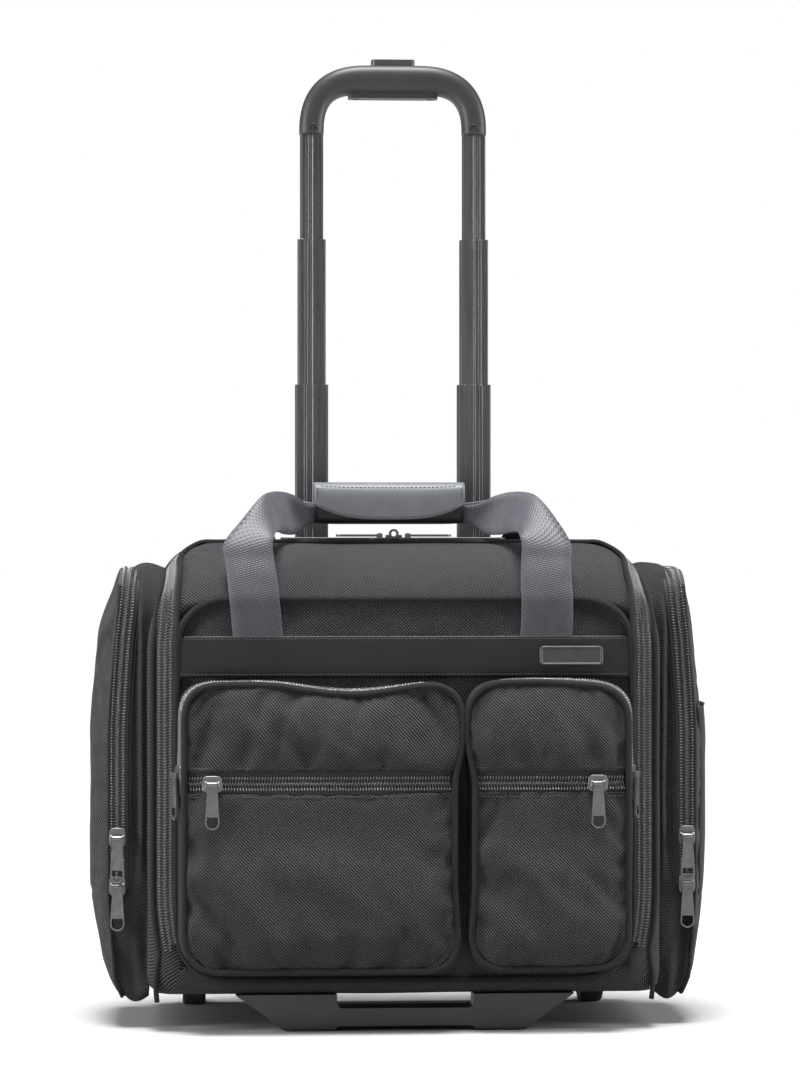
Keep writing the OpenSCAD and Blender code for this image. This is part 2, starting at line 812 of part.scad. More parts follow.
at_side(1, lower_z) pull();  // pull_side_right_lower
at_face(face_left_x) pull();  // pull_face_left
at_face(face_right_x) pull();  // pull_face_right
at_pocket(-1) pull();  // pull_pocket_left
at_pocket(1) pull();  // pull_pocket_right
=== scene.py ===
"""Looks of the rolling pilot case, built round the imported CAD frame.

Lengths are in millimetres until mesh data is made, where MM turns them into metres.
+Z is up and the front faces -Y, as in the frame.
"""
import functools
import math

import bmesh
import bpy
from mathutils import Matrix, Vector, noise


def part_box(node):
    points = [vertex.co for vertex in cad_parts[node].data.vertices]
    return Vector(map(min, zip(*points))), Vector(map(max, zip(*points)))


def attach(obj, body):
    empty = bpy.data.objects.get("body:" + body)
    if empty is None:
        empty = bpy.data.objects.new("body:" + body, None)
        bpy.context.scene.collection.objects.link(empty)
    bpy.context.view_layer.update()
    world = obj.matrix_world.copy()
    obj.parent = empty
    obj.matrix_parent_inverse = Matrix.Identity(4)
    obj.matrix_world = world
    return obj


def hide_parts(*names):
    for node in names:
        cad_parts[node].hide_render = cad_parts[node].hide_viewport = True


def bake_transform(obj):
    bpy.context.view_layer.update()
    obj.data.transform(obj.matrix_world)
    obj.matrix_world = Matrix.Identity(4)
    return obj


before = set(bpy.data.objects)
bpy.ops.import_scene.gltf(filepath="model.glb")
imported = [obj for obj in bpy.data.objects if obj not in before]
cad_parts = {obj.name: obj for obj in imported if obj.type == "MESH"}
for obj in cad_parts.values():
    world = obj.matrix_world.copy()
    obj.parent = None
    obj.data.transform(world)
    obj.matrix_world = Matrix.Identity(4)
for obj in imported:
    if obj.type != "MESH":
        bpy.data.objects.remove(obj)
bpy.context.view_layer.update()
MM = 0.001


def box(node):
    """Lowest and highest corner of a CAD node, in millimetres."""
    low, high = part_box(node)
    return low / MM, high / MM


# ---------------------------------------------------------------- outlines and paths


def lerp(a, b, t):
    """a at t 0, b at t 1."""
    return a + (b - a) * t


def smooth(a, b, x):
    """0 before a, 1 after b, with a soft turn between."""
    t = min(max((x - a) / (b - a), 0), 1)
    return t * t * (3 - 2 * t)


def soften(points, cuts, steps=6, closed=True):
    """points with each corner rounded over the distance in cuts, by that many steps."""
    out, count = [], len(points)
    for i, (b, cut) in enumerate(zip(points, cuts)):
        if cut <= 0 or (not closed and i in (0, count - 1)):
            out.append(b)
            continue
        start = b + (points[i - 1] - b).normalized() * cut
        end = b + (points[(i + 1) % count] - b).normalized() * cut
        for k in range(steps + 1):
            t = k / steps
            out.append(start * (1 - t) ** 2 + b * (2 * t * (1 - t)) + end * t * t)
    return out


def travelled(points):
    """Distance along points up to each of them."""
    run = [0.0]
    for a, b in zip(points, points[1:]):
        run.append(run[-1] + (b - a).length)
    return run


def at_distance(points, run, s):
    """The point s along points, whose travelled distances are run."""
    s = min(max(s, 0), run[-1])
    low, high = 0, len(run) - 1
    while high - low > 1:
        mid = (low + high) // 2
        low, high = (mid, high) if run[mid] <= s else (low, mid)
    gap = run[high] - run[low]
    return points[low].lerp(points[high], (s - run[low]) / gap if gap > 1e-9 else 0)


def resample(points, count):
    """count + 1 points, evenly spaced along a polyline."""
    run = travelled(points)
    return [at_distance(points, run, run[-1] * i / count) for i in range(count + 1)]


def curve_through(points, steps):
    """A smooth curve through given points of any length (Catmull-Rom)."""
    out = []
    for i in range(len(points) - 1):
        p0, p1, p2, p3 = (points[min(max(i + k, 0), len(points) - 1)] for k in (-1, 0, 1, 2))
        for k in range(steps):
            t = k / steps
            out.append(0.5 * ((p1 * 2) + (p2 - p0) * t + (p0 * 2 - p1 * 5 + p2 * 4 - p3) * t * t
                              + (p1 * 3 - p0 - p2 * 3 + p3) * t ** 3))
    return out + [points[-1]]


def rounded_box(a0, b0, a1, b1, cuts, steps=8):
    """Closed outline of a box with rounded corners, from the lower left corner round to the right."""
    corners = [Vector((a0, b0)), Vector((a1, b0)), Vector((a1, b1)), Vector((a0, b1))]
    return soften(corners, cuts, steps)


def inside_depth(a, b, limits, r):
    """How far (a, b) lies inside a box with corners of radius r."""
    a0, b0, a1, b1 = limits
    qa = abs(a - (a0 + a1) / 2) - ((a1 - a0) / 2 - r)
    qb = abs(b - (b0 + b1) / 2) - ((b1 - b0) / 2 - r)
    return r - math.hypot(max(qa, 0), max(qb, 0)) - min(max(qa, qb), 0)


def ripple(p, size, seed=0.0):
    """Smooth noise from -1 to 1 with bumps about size across."""
    return noise.noise(Vector((p[0] / size + seed, p[1] / size - seed, p[2] / size + 2 * seed)))


# ---------------------------------------------------------------- meshes


def add_object(name, data):
    """A new object in the scene with this data."""
    made = bpy.data.objects.new(name, data)
    bpy.context.scene.collection.objects.link(made)
    return made


class Patchwork:
    """Collects grids of points, with a weave map in metres, and turns them into one mesh."""

    def __init__(self):
        self.points, self.faces, self.weave = [], [], []

    def grid(self, rows, closed=False, first=0.0):
        """A sheet through rows of points. closed joins the ends of each row; first is the weave's start."""
        start, width = len(self.points), len(rows[0])
        down = [first + s for s in travelled([row[width // 2] for row in rows])]
        across = []
        for row in rows:
            run = travelled(row + row[:1] if closed else row)
            centre = run[width // 2]
            across.append([s - centre for s in run])
            self.points.extend(row)
        for i in range(len(rows) - 1):
            for j in range(width if closed else width - 1):
                corners = ((i, j), (i, j + 1), (i + 1, j + 1), (i + 1, j))
                self.faces.append([start + m * width + n % width for m, n in corners])
                self.weave.append([(across[m][n], down[m]) for m, n in corners])

    def fan(self, ring, centre):
        """Closes a ring of points with triangles to a centre."""
        start = len(self.points)
        self.points.extend(list(ring) + [centre])
        for j in range(len(ring)):
            k = (j + 1) % len(ring)
            self.faces.append([start + j, start + k, start + len(ring)])
            self.weave.append([(0, 0), (1, 0), (0, 1)])

    def tube(self, path, radius, sides=8, closed=False):
        """A round tube along a path."""
        count = len(path)
        rings = []
        side = None
        for i, p in enumerate(path):
            before = path[i - 1] if i or closed else path[0]
            after = path[(i + 1) % count] if i < count - 1 or closed else path[-1]
            along = (after - before).normalized()
            if side is None:
                side = along.orthogonal()
            side = (side - along * side.dot(along)).normalized()
            top = along.cross(side)
            rings.append([p + side * (radius * math.cos(a)) + top * (radius * math.sin(a))
                          for a in (2 * math.pi * k / sides for k in range(sides))])
        if closed:
            offset = min(range(sides), key=lambda k: (rings[0][0] - rings[-1][k]).length)
            rings.append(rings[0][-offset:] + rings[0][:-offset] if offset else rings[0])
        self.grid(rings, closed=True)
        if not closed:
            self.fan(rings[0][::-1], path[0])
            self.fan(rings[-1], path[-1])

    def make(self, name, materials, merge=0.02, outward=None):
        """One smooth mesh object. merge is the distance in millimetres within which points join."""
        data = bpy.data.meshes.new(name)
        data.from_pydata([p * MM for p in self.points], [], self.faces)
        layer = data.uv_layers.new(name="weave")
        for corner, uv in zip(layer.data, [uv for uvs in self.weave for uv in uvs]):
            corner.uv = (uv[0] * MM, uv[1] * MM)
        for polygon in data.polygons:
            polygon.use_smooth = True
        mesh = bmesh.new()
        mesh.from_mesh(data)
        if merge:
            bmesh.ops.remove_doubles(mesh, verts=mesh.verts, dist=merge * MM)
            bmesh.ops.dissolve_degenerate(mesh, edges=mesh.edges, dist=merge * MM / 4)
        bmesh.ops.recalc_face_normals(mesh, faces=mesh.faces)
        if outward is not None:
            if sum((f.normal * f.calc_area() for f in mesh.faces), Vector()).dot(Vector(outward)) < 0:
                bmesh.ops.reverse_faces(mesh, faces=mesh.faces)
        mesh.to_mesh(data)
        mesh.free()
        for material in materials:
            data.materials.append(material)
        return add_object(name, data)


def hand(side):
    """A side, -1 or 1, in words."""
    return "left" if side < 0 else "right"


def facing(way, start, end):
    """A direction, turned round if it points from end to start."""
    return -way if way.dot(end - start) < 0 else way


def finish_piece(piece, body, slot, *nodes):
    """piece rides on a body and stands for CAD nodes, which it hides; slot is not used."""
    if body:
        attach(piece, body)
    if nodes:
        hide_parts(*nodes)
    return piece


def thicken(piece, thickness, inner=0):
    """Gives a sheet a thickness inwards. inner is added to the material index inside."""
    solid = piece.modifiers.new("thickness", "SOLIDIFY")
    solid.thickness = thickness * MM
    solid.offset = -1
    solid.material_offset = inner
    solid.material_offset_rim = inner


def sewn_sheet(name, rows, finishes, outward, thickness, body, slot, *nodes, holes=()):
    """A sheet of cloth through rows of points, cut away in holes; a second finish is its lining."""
    work = Patchwork()
    work.grid(rows)
    piece = work.make(name, [materials[finish] for finish in finishes], outward=outward)
    cut_away(piece, holes)
    thicken(piece, thickness, inner=len(finishes) - 1)
    return finish_piece(piece, body, slot, *nodes)


def settle(piece, pressure, growth, cap):
    """Lets a sheet held by its edges grow and swell as cloth, moving by at most cap millimetres."""
    data = piece.data
    start = [v.co.copy() for v in data.vertices]
    edge = bmesh.new()
    edge.from_mesh(data)
    held = [v.index for v in edge.verts if v.is_boundary]
    edge.free()
    piece.vertex_groups.new(name="held").add(held, 1.0, "REPLACE")
    cloth = piece.modifiers.new("cloth", "CLOTH")
    cloth.settings.quality = 6
    cloth.settings.mass = 0.4
    cloth.settings.tension_stiffness = cloth.settings.compression_stiffness = 40
    cloth.settings.shear_stiffness = 12
    cloth.settings.bending_stiffness = 1.5
    cloth.settings.shrink_min = -growth
    cloth.settings.vertex_group_mass = "held"
    cloth.settings.use_pressure = True
    cloth.settings.uniform_pressure_force = pressure
    cloth.settings.effector_weights.gravity = 0
    cloth.collision_settings.use_collision = False
    cloth.point_cache.frame_start, cloth.point_cache.frame_end = 1, 20
    for step in range(1, 21):
        bpy.context.scene.frame_set(step)
    moved = piece.evaluated_get(bpy.context.evaluated_depsgraph_get()).data
    end = [v.co.copy() for v in moved.vertices]
    piece.modifiers.remove(cloth)
    for v, a, b in zip(data.vertices, start, end):
        way = b - a
        far = way.length / MM
        v.co = a + way * (min(far, cap) / far if far > 1e-6 else 0)
    bpy.context.scene.frame_set(1)


def leave_room(piece, front, low, high):
    """Presses the cloth back behind front where a hanging pull passes it, between two heights."""
    give, below, above = 3.2, 34, 4
    for v in piece.data.vertices:
        over = front + give - v.co.y / MM
        if over > 0:
            part = smooth(low - below, low, v.co.z / MM) * (1 - smooth(high, high + above, v.co.z / MM))
            v.co.y += (over - give * (1 - math.exp(-over / give))) * part * MM


def cut_away(piece, boxes):
    """Cuts the cloth along the faces of boxes, each given by two corners, and removes what lies inside."""
    if not boxes:
        return
    mesh = bmesh.new()
    mesh.from_mesh(piece.data)

    def faces_in(low, high, reach):
        """Faces with their middle in a box grown by reach metres."""
        return [f for f in mesh.faces if all(
            low[k] * MM - reach < f.calc_center_median()[k] < high[k] * MM + reach for k in range(3))]

    for low, high in boxes:
        for axis in range(3):
            for corner in (low, high):
                near = faces_in(low, high, 0.03)
                parts = {v for f in near for v in f.verts} | {e for f in near for e in f.edges}
                normal = Vector([1.0 if k == axis else 0.0 for k in range(3)])
                bmesh.ops.bisect_plane(mesh, geom=list(parts) + near, dist=1e-6,
                                       plane_co=Vector(corner) * MM, plane_no=normal)
    for low, high in boxes:
        bmesh.ops.delete(mesh, geom=faces_in(low, high, 1e-6), context="FACES")
    mesh.to_mesh(piece.data)
    mesh.free()


# ---------------------------------------------------------------- materials


class Finish:
    """A material on one Principled shader, with short calls for its nodes."""

    def __init__(self, name, colour, roughness, **settings):
        self.material = bpy.data.materials.new(name)
        self.material.use_nodes = True
        self.tree = self.material.node_tree
        self.shader = next(n for n in self.tree.nodes if n.type == "BSDF_PRINCIPLED")
        self.set("Base Color", (*colour, 1))
        self.set("Roughness", roughness)
        for key, value in settings.items():
            self.set(key.replace("_", " "), value)

    def set(self, socket, value):
        """Sets one of the shader's own inputs."""
        self.shader.inputs[socket].default_value = value

    def link(self, source, target):
        """Joins an output to an input."""
        self.tree.links.new(source, target)

    def node(self, kind, **inputs):
        """A new node; each input is a value or another node's output."""
        made = self.tree.nodes.new(kind)
        for key, value in inputs.items():
            socket = made.inputs[key.replace("_", " ")]
            if hasattr(value, "links"):
                self.link(value, socket)
            else:
                socket.default_value = value
        return made

    def math(self, operation, a, b=0.0):
        """The output of a math node on values or other nodes' outputs."""
        made = self.tree.nodes.new("ShaderNodeMath")
        made.operation = operation
        for socket, value in zip(made.inputs, (a, b)):
            if hasattr(value, "links"):
                self.link(value, socket)
            else:
                socket.default_value = value
        return made.outputs[0]

    def weave(self):
        """The weave map's two coordinates, in metres."""
        uv = self.tree.nodes.new("ShaderNodeUVMap")
        uv.uv_map = "weave"
        split = self.node("ShaderNodeSeparateXYZ", Vector=uv.outputs["UV"])
        return split.outputs["X"], split.outputs["Y"]

    def place(self):
        """Position on the piece, in metres."""
        return self.tree.nodes.new("ShaderNodeTexCoord").outputs["Object"]

    def noise(self, size, detail=2.0, rough=0.5, stretch=None):
        """Noise with bumps about size millimetres across, from 0 to 1."""
        where = self.place()
        if stretch:
            where = self.node("ShaderNodeMapping", Vector=where, Scale=stretch).outputs["Vector"]
        made = self.node("ShaderNodeTexNoise", Vector=where, Scale=1 / (size * MM), Detail=detail,
                         Roughness=rough)
        return made.outputs["Fac"]

    def wave(self, a, b, pitch, ka, kb):
        """sin of ka·a + kb·b with a pitch in millimetres."""
        mix = self.math("ADD", self.math("MULTIPLY", a, ka), self.math("MULTIPLY", b, kb))
        return self.math("SINE", self.math("MULTIPLY", mix, 2 * math.pi / (pitch * MM)))

    def colours(self, factor, dark, light):
        """Base colour that runs from dark to light with factor."""
        ramp = self.tree.nodes.new("ShaderNodeValToRGB")
        self.link(factor, ramp.inputs["Fac"])
        ramp.color_ramp.elements[0].color = (*dark, 1)
        ramp.color_ramp.elements[1].color = (*light, 1)
        self.link(ramp.outputs["Color"], self.shader.inputs["Base Color"])

    def spread(self, factor, low, high):
        """Roughness that runs from low to high with factor."""
        made = self.node("ShaderNodeMapRange", Value=factor, To_Min=low, To_Max=high)
        self.link(made.outputs["Result"], self.shader.inputs["Roughness"])

    def bump(self, *layers):
        """Adds bumps, each given as height, distance in millimetres and strength."""
        normal = None
        for height, distance, strength in layers:
            made = self.node("ShaderNodeBump", Height=height, Distance=distance * MM, Strength=strength)
            if normal is not None:
                self.link(normal, made.inputs["Normal"])
            normal = made.outputs["Normal"]
        self.link(normal, self.shader.inputs["Normal"])


def grey(value, blue=1.0):
    """A grey whose blue is stronger by that factor."""
    return (value, value * (0.7 + 0.3 * blue), value * blue)


def nylon(name, dark, light, pitch=1.95, slant=1.0, gloss=0.16):
    """Ballistic nylon: a dotted twill whose diagonal leans one way, with a soft sheen."""
    f = Finish(name, grey(light), 0.6, Specular_IOR_Level=0.22, Sheen_Weight=0.03, Sheen_Roughness=0.4)
    a, b = f.weave()
    twill = f.math("ADD", f.math("MULTIPLY", f.wave(a, b, pitch, slant * 0.72, 0.72), 0.5), 0.5)
    cross = f.math("ADD", f.math("MULTIPLY", f.wave(a, b, pitch, slant * 0.95, -0.55), 0.5), 0.5)
    dots = f.math("MULTIPLY", twill, f.math("ADD", f.math("MULTIPLY", cross, 0.6), 0.4))
    cloud = f.noise(9, 3, 0.6)
    tone = f.math("ADD", f.math("POWER", dots, 1.9), f.math("MULTIPLY", f.math("SUBTRACT", cloud, 0.5), 0.16))
    f.colours(tone, grey(dark, 1.1), grey(light, 1.14))
    f.spread(dots, 0.75, 0.7 - gloss)
    f.bump((dots, 0.6, 0.9), (f.noise(0.5), 0.1, 0.2))
    return f.material


def mottled(name, colour, roughness, tones=None, gloss=None, grain=None, **settings):
    """A finish that only noise varies. Each of the three is a noise's size, detail and roughness, with the
    dark and light colour, the lowest and highest roughness, or the bumps' depth and strength."""
    f = Finish(name, colour, roughness, **settings)
    if tones:
        f.colours(f.noise(*tones[0]), *tones[1:])
    if gloss:
        f.spread(f.noise(*gloss[0]), *gloss[1:])
    f.bump((f.noise(*grain[0]), *grain[1:]))
    return f.material


def make_materials():
    """All finishes by name."""
    m = {}
    m["nylon"] = nylon("ballistic_nylon", 0.0015, 0.079, pitch=1.85)
    # The gusset is a darker copy of the nylon with a finer, lower-contrast twill: the darkness is painted
    # shade for the pockets' side walls.
    m["gusset"] = nylon("ballistic_nylon_gusset", 0.004, 0.043, pitch=1.4, slant=-1.0)
    # The binding is darker than the nylon: partly its own darker cord, partly painted shade against the top
    # light on the piping.
    m["binding"] = nylon("nylon_binding", 0.003, 0.016, pitch=0.9, gloss=0.0)

    f = Finish("lining", grey(0.03), 0.8, Sheen_Weight=0.2)
    a, b = f.weave()
    threads = f.math("MULTIPLY", f.wave(a, b, 0.9, 1, 0), f.wave(a, b, 0.9, 0, 1))
    cloud = f.noise(14, 3)
    f.colours(cloud, grey(0.018), grey(0.04))
    f.bump((threads, 0.15, 0.4))
    m["lining"] = f.material

    f = Finish("webbing", grey(0.08), 0.5, Specular_IOR_Level=0.3, Sheen_Weight=0.08,
               Sheen_Roughness=0.4)
    a, b = f.weave()
    ribs = f.wave(a, b, 1.75, 0.25, 1)
    rows = f.wave(a, b, 2.7, 1, 0.3)
    crossed = f.math("MULTIPLY", f.math("MULTIPLY", ribs, rows), 0.3)
    height = f.math("ADD", crossed, f.math("MULTIPLY", ribs, 0.26))
    cloud = f.math("MULTIPLY", f.math("SUBTRACT", f.noise(11, 3), 0.5), 0.3)
    f.colours(f.math("ADD", f.math("ADD", height, 0.5), cloud), (0.011, 0.011, 0.0135), (0.088, 0.088, 0.104))
    f.bump((height, 0.4, 0.5), (f.noise(0.6), 0.1, 0.3))
    m["webbing"] = f.material

    # The wrap's flap takes a lighter copy of the band's leather: part of the lightness is the flap's own,
    # part is painted highlight for the top light on its upward face.
    for name, dark, light in (("leather", 0.004, 0.009), ("leather_wrap_painted_highlight", 0.075, 0.12)):
        f = Finish(name, grey(light), 0.5, Specular_IOR_Level=0.35)
        cells = f.node("ShaderNodeTexVoronoi", Vector=f.place(), Scale=1 / (1.1 * MM)).outputs["Distance"]
        cloud = f.noise(16, 4, 0.65)
        f.colours(cloud, grey(dark, 1.14), grey(light, 1.16))
        f.spread(cloud, 0.42, 0.6)
        f.bump((cells, 0.1, 0.3), (f.noise(6, 3), 0.5, 0.25))
        m[name] = f.material

    # Black tape made darker still: painted shade for the gaps between the teeth and the slit beside the
    # chain.
    f = Finish("zip_tape", grey(0.02), 0.75, Sheen_Weight=0.15)
    a, b = f.weave()
    knit = f.math("MULTIPLY", f.wave(a, b, 1.2, 1, 0), f.wave(a, b, 1.2, 0, 1))
    f.colours(f.math("ADD", f.math("MULTIPLY", knit, 0.5), 0.5), grey(0.003), grey(0.01))
    f.bump((knit, 0.2, 0.5))
    m["tape"] = f.material

    f = Finish("anodised_tube", grey(0.07), 0.34, Metallic=0.6, Specular_IOR_Level=0.6)
    grain = f.noise(2.2, 3, 0.6, stretch=(1, 1, 0.03))
    f.colours(grain, (0.045, 0.046, 0.049), (0.11, 0.112, 0.117))
    f.spread(grain, 0.22, 0.34)
    f.bump((grain, 0.04, 0.2))
    m["tube"] = f.material

    # The coil's grey is lighter than black nylon: painted highlight for the glints on the teeth, added to the
    # gloss's own highlights.
    m["coil"] = mottled("zip_coil", grey(0.11), 0.14, gloss=((3,), 0.12, 0.22), grain=((0.6,), 0.08, 0.3),
                        Specular_IOR_Level=1.0)
    m["thread"] = mottled("thread", grey(0.035), 0.6, gloss=((2,), 0.5, 0.7), grain=((0.5,), 0.1, 0.5))
    m["gunmetal"] = mottled("gunmetal", grey(0.17), 0.38,
                            ((6, 4, 0.65), (0.09, 0.09, 0.094), (0.22, 0.22, 0.23)),
                            ((2.5, 3), 0.28, 0.48), ((0.7, 3), 0.05, 0.25), Metallic=0.85)
    m["badge"] = mottled("badge_metal", grey(0.06), 0.5, ((9, 3), grey(0.045), grey(0.085)),
                         ((2.5, 3), 0.42, 0.58), ((0.8, 3), 0.05, 0.2), Metallic=0.7)
    m["grip"] = mottled("soft_grip", grey(0.05), 0.5, ((9, 3), grey(0.015, 1.04), grey(0.029, 1.05)),
                        grain=((0.9, 3), 0.1, 0.45), Specular_IOR_Level=0.4)
    m["plastic"] = mottled("moulded_plastic", grey(0.03), 0.45, ((11, 3), grey(0.016), grey(0.032)),
                           ((3, 3), 0.38, 0.55), ((0.8, 2), 0.08, 0.4), Specular_IOR_Level=0.45)
    m["button"] = mottled("button", grey(0.04), 0.35, gloss=((4,), 0.3, 0.42), grain=((0.9,), 0.05, 0.25))
    m["hub"] = mottled("hub", grey(0.06), 0.5, ((8, 3), grey(0.04), grey(0.075)), grain=((0.8,), 0.08, 0.3))
    m["tyre"] = mottled("tyre", grey(0.02), 0.75, ((5, 4, 0.7), grey(0.012), grey(0.035)),
                        grain=((1.2, 3), 0.2, 0.4))
    m["steel"] = mottled("steel", grey(0.2), 0.35, gloss=((2, 3), 0.22, 0.42), grain=((0.8,), 0.03, 0.2),
                         Metallic=1.0)
    return m


materials = make_materials()

# ---------------------------------------------------------------- sizes from the frame

shell_low, shell_high = box("rear_shell")
HALF = shell_high.x
FRONT, BACK = box("front_shell")[0].y, shell_high.y
BOTTOM, TOP = shell_low.z, shell_high.z
LID_BACK = box("main_zip_front")[1].y + 0.2   # the main zip's run across the top
SHOULDER = 75                                 # radius between the front face and the top
LEAN_FROM = TOP - 72                          # the sides lean in above this height
LEAN = 19                                     # and are this much closer in at the top
CORNER_ACROSS, CORNER_DEEP = 24, 14           # front corners, seen from above
REAR_CORNER, SIDE_ROUND = 18, 12              # rear corners, and the base's front and rear edges
SEAM_Y = FRONT + 1.3                          # the main zip's run up each side
LID_HALF, LID_CORNER = 177, 28                # the lid's half width and rear corners
SIDE_STEPS, TOP_STEPS = 64, 24                # of half a row over the side and over the top
panel_low, panel_high = box("front_panel")
PANEL_HALF = panel_high.x - 9
CLOTH = 2.0                                   # thickness of the case's cloth
PIPE = 2.5                                    # radius of the pockets' piping
PITCH = 2.2                                   # of every zip's teeth


def mirror(points):
    """The same points on the other side of the case."""
    return [Vector((-p.x, p.y, p.z)) for p in points]


# ---------------------------------------------------------------- case surface


def corner_inset(y):
    """How far the side of the case stands in at depth y."""
    front = min(max((FRONT + CORNER_DEEP - y) / CORNER_DEEP, 0), 1)
    rear = min(max((y - BACK + REAR_CORNER) / REAR_CORNER, 0), 1)
    return CORNER_ACROSS * (1 - math.sqrt(1 - front ** 2)) + REAR_CORNER * (1 - math.sqrt(1 - rear ** 2))


def side_drop(y):
    """How far the base rises at depth y."""
    part = max((FRONT + SIDE_ROUND - y) / SIDE_ROUND, (y - BACK + SIDE_ROUND) / SIDE_ROUND, 0)
    return SIDE_ROUND * (1 - math.sqrt(1 - min(part, 1) ** 2))


def top_at(y):
    """Height of the top at depth y."""
    if y < LID_BACK:
        return TOP - SHOULDER + math.sqrt(SHOULDER ** 2 - (y - LID_BACK) ** 2)
    return TOP - (side_drop(y) if y > 0 else 0)


def lean_at(z):
    """How far the sides lean in at height z."""
    return LEAN * max(z - LEAN_FROM, 0) / (TOP - LEAN_FROM)


def lid_edge(y):
    """Half width of the lid at depth y, with round rear corners."""
    edge = lerp(LID_HALF + 3.5, LID_HALF, smooth(SEAM_Y, -60, y))
    past = min(max(y - LID_BACK + LID_CORNER, 0), LID_CORNER)
    return edge - LID_CORNER + math.sqrt(LID_CORNER ** 2 - past ** 2)


def half_ring(y):
    """Right half of the case's outline at depth y, from the middle of the base to the middle of the top."""
    w, t, b = HALF - corner_inset(y), top_at(y), BOTTOM + side_drop(y)
    shoulder = Vector((w - lean_at(t), y, t))
    knee = Vector((w, y, LEAN_FROM))
    reach = (shoulder - knee).length
    corners = [Vector((0, y, b)), Vector((w, y, b)), knee, shoulder, Vector((0, y, t))]
    return soften(corners, [0, 14, min(25, 0.24 * reach), min(36, 0.74 * reach), 0], 8, closed=False)


@functools.lru_cache(maxsize=None)
def split_ring(y):
    """Side and top parts of the right half of a ring, parted at the lid's edge."""
    points = resample(half_ring(y), 400)
    edge = min(lid_edge(y), HALF - corner_inset(y) - 1)
    cut = next(i for i in range(len(points) - 1, 0, -1) if points[i - 1].x > edge)
    a, b = points[cut - 1], points[cut]
    split = a.lerp(b, (a.x - edge) / max(a.x - b.x, 1e-6))
    return points[:cut] + [split], [split] + points[cut:]


def surface(y, f):
    """Point on the right of the case: f runs 0 to 1 up the side and 1 to 2 over the top."""
    part = split_ring(y)[0 if f <= 1 else 1]
    run = travelled(part)
    return at_distance(part, run, run[-1] * (f if f <= 1 else f - 1))


def side_row(y):
    """Left lid edge, down and under, up to the right lid edge."""
    right = resample(split_ring(y)[0], SIDE_STEPS)
    return mirror(right)[::-1] + right[1:]


def top_row(y):
    """Left lid edge, over the top, to the right lid edge."""
    right = resample(split_ring(y)[1], TOP_STEPS)
    return mirror(right) + right[::-1][1:]


# Depths of the rows: round the front edge, up to the lid's rear corners, round those, and on to the back
FRONT_DEPTHS = [SEAM_Y] + [FRONT + step for step in (2.2, 3.5, 5.5, 8, 11, 14)]
LID_DEPTHS = FRONT_DEPTHS + [lerp(FRONT + 14, LID_BACK - LID_CORNER, k / 5) for k in range(1, 5)] + \
    [LID_BACK - LID_CORNER + LID_CORNER * math.sin(math.radians(a)) for a in range(0, 91, 9)]
REAR_DEPTHS = [lerp(LID_BACK, BACK - REAR_CORNER, k / 12) for k in range(1, 12)] + \
    [BACK - REAR_CORNER + REAR_CORNER * math.sin(math.pi / 2 * k / 8) for k in range(9)]

# Boxes that the cloth leaves free: round the wheels, and under the bezel of the pull handle
bay_low, bay_high = box("wheel_housing_right")
BAY_HALF, BAY_X = (bay_high.x - bay_low.x) / 2, (bay_high.x + bay_low.x) / 2
BAY_FRONT, BAY_TOP = bay_low.y, bay_high.z
wheel_bays = [(Vector((side * BAY_X - BAY_HALF, BAY_FRONT, BOTTOM - 20)),
               Vector((side * BAY_X + BAY_HALF, BACK + 30, BAY_TOP))) for side in (-1, 1)]
bezel_low, bezel_high = box("trolley_bezel")
tube_opening = (bezel_low + Vector((5, 3, -12)), bezel_high + Vector((-5, -3, 6)))


def crumple(point, amount, hold=1.0):
    """A small move that makes cloth at a point look slack; a hold of 0 keeps it still."""
    return Vector((ripple(point, 55, 3.1), ripple(point, 48, 7.7), ripple(point, 60, 1.3))) * amount * hold


def edge_hold(j, count):
    """0 at both ends of a row, rising to 1 away from them."""
    return smooth(0, 0.08, j / count) * smooth(0, 0.08, 1 - j / count)


def turned_in_edge(rim):
    """Rows that turn a rim of the shell 15 mm inwards, less near the rim's two ends."""
    inner, last, middle = [], len(rim) - 1, Vector((0, 0, 190))
    for j, p in enumerate(rim):
        along = (rim[min(j + 1, last)] - rim[max(j - 1, 0)]).normalized()
        inward = facing(Vector((-along.z, 0, along.x)), p, middle)
        inner.append((p, inward * smooth(0, 14, min(j, last - j))))
    return [[p + n * reach + Vector((0, back, 0)) for p, n in inner] for reach, back in
            ((15, 1.0), (10, 0.3), (5, -0.1))]


def build_case():
    """Rear shell of the case: sides, base, top behind the zip, and back."""
    cloth = Patchwork()
    rows = []
    for y in LID_DEPTHS + REAR_DEPTHS:
        row = side_row(y)
        hold = smooth(SEAM_Y, SEAM_Y + 25, y)
        rows.append([p + crumple(p, 1.2, hold * edge_hold(j, len(row) - 1)) for j, p in enumerate(row)])
    cloth.grid(turned_in_edge(side_row(SEAM_Y)) + rows)
    tops = [top_row(y) for y in [LID_BACK] + REAR_DEPTHS]
    for i, row in enumerate(tops[1:-1], 1):
        for j, p in enumerate(row):
            row[j] = p + crumple(p, 1.4, edge_hold(j, len(row) - 1) * smooth(0, 3, i))
    cloth.grid(tops, first=900)
    back = side_row(BACK) + top_row(BACK)[::-1][1:-1]
    middle = Vector((0, BACK, 205))
    cloth.grid([[middle.lerp(p, k) for p in back] for k in (1, 0.8, 0.6, 0.4, 0.2)], closed=True)
    cloth.fan([middle.lerp(p, 0.2) for p in back], middle)
    piece = cloth.make("case_shell", [materials["nylon"], materials["lining"]], merge=0.3)
    cut_away(piece, wheel_bays + [tube_opening])
    thicken(piece, CLOTH, inner=1)
    finish_piece(piece, "case", "ballistic_nylon", "rear_shell")


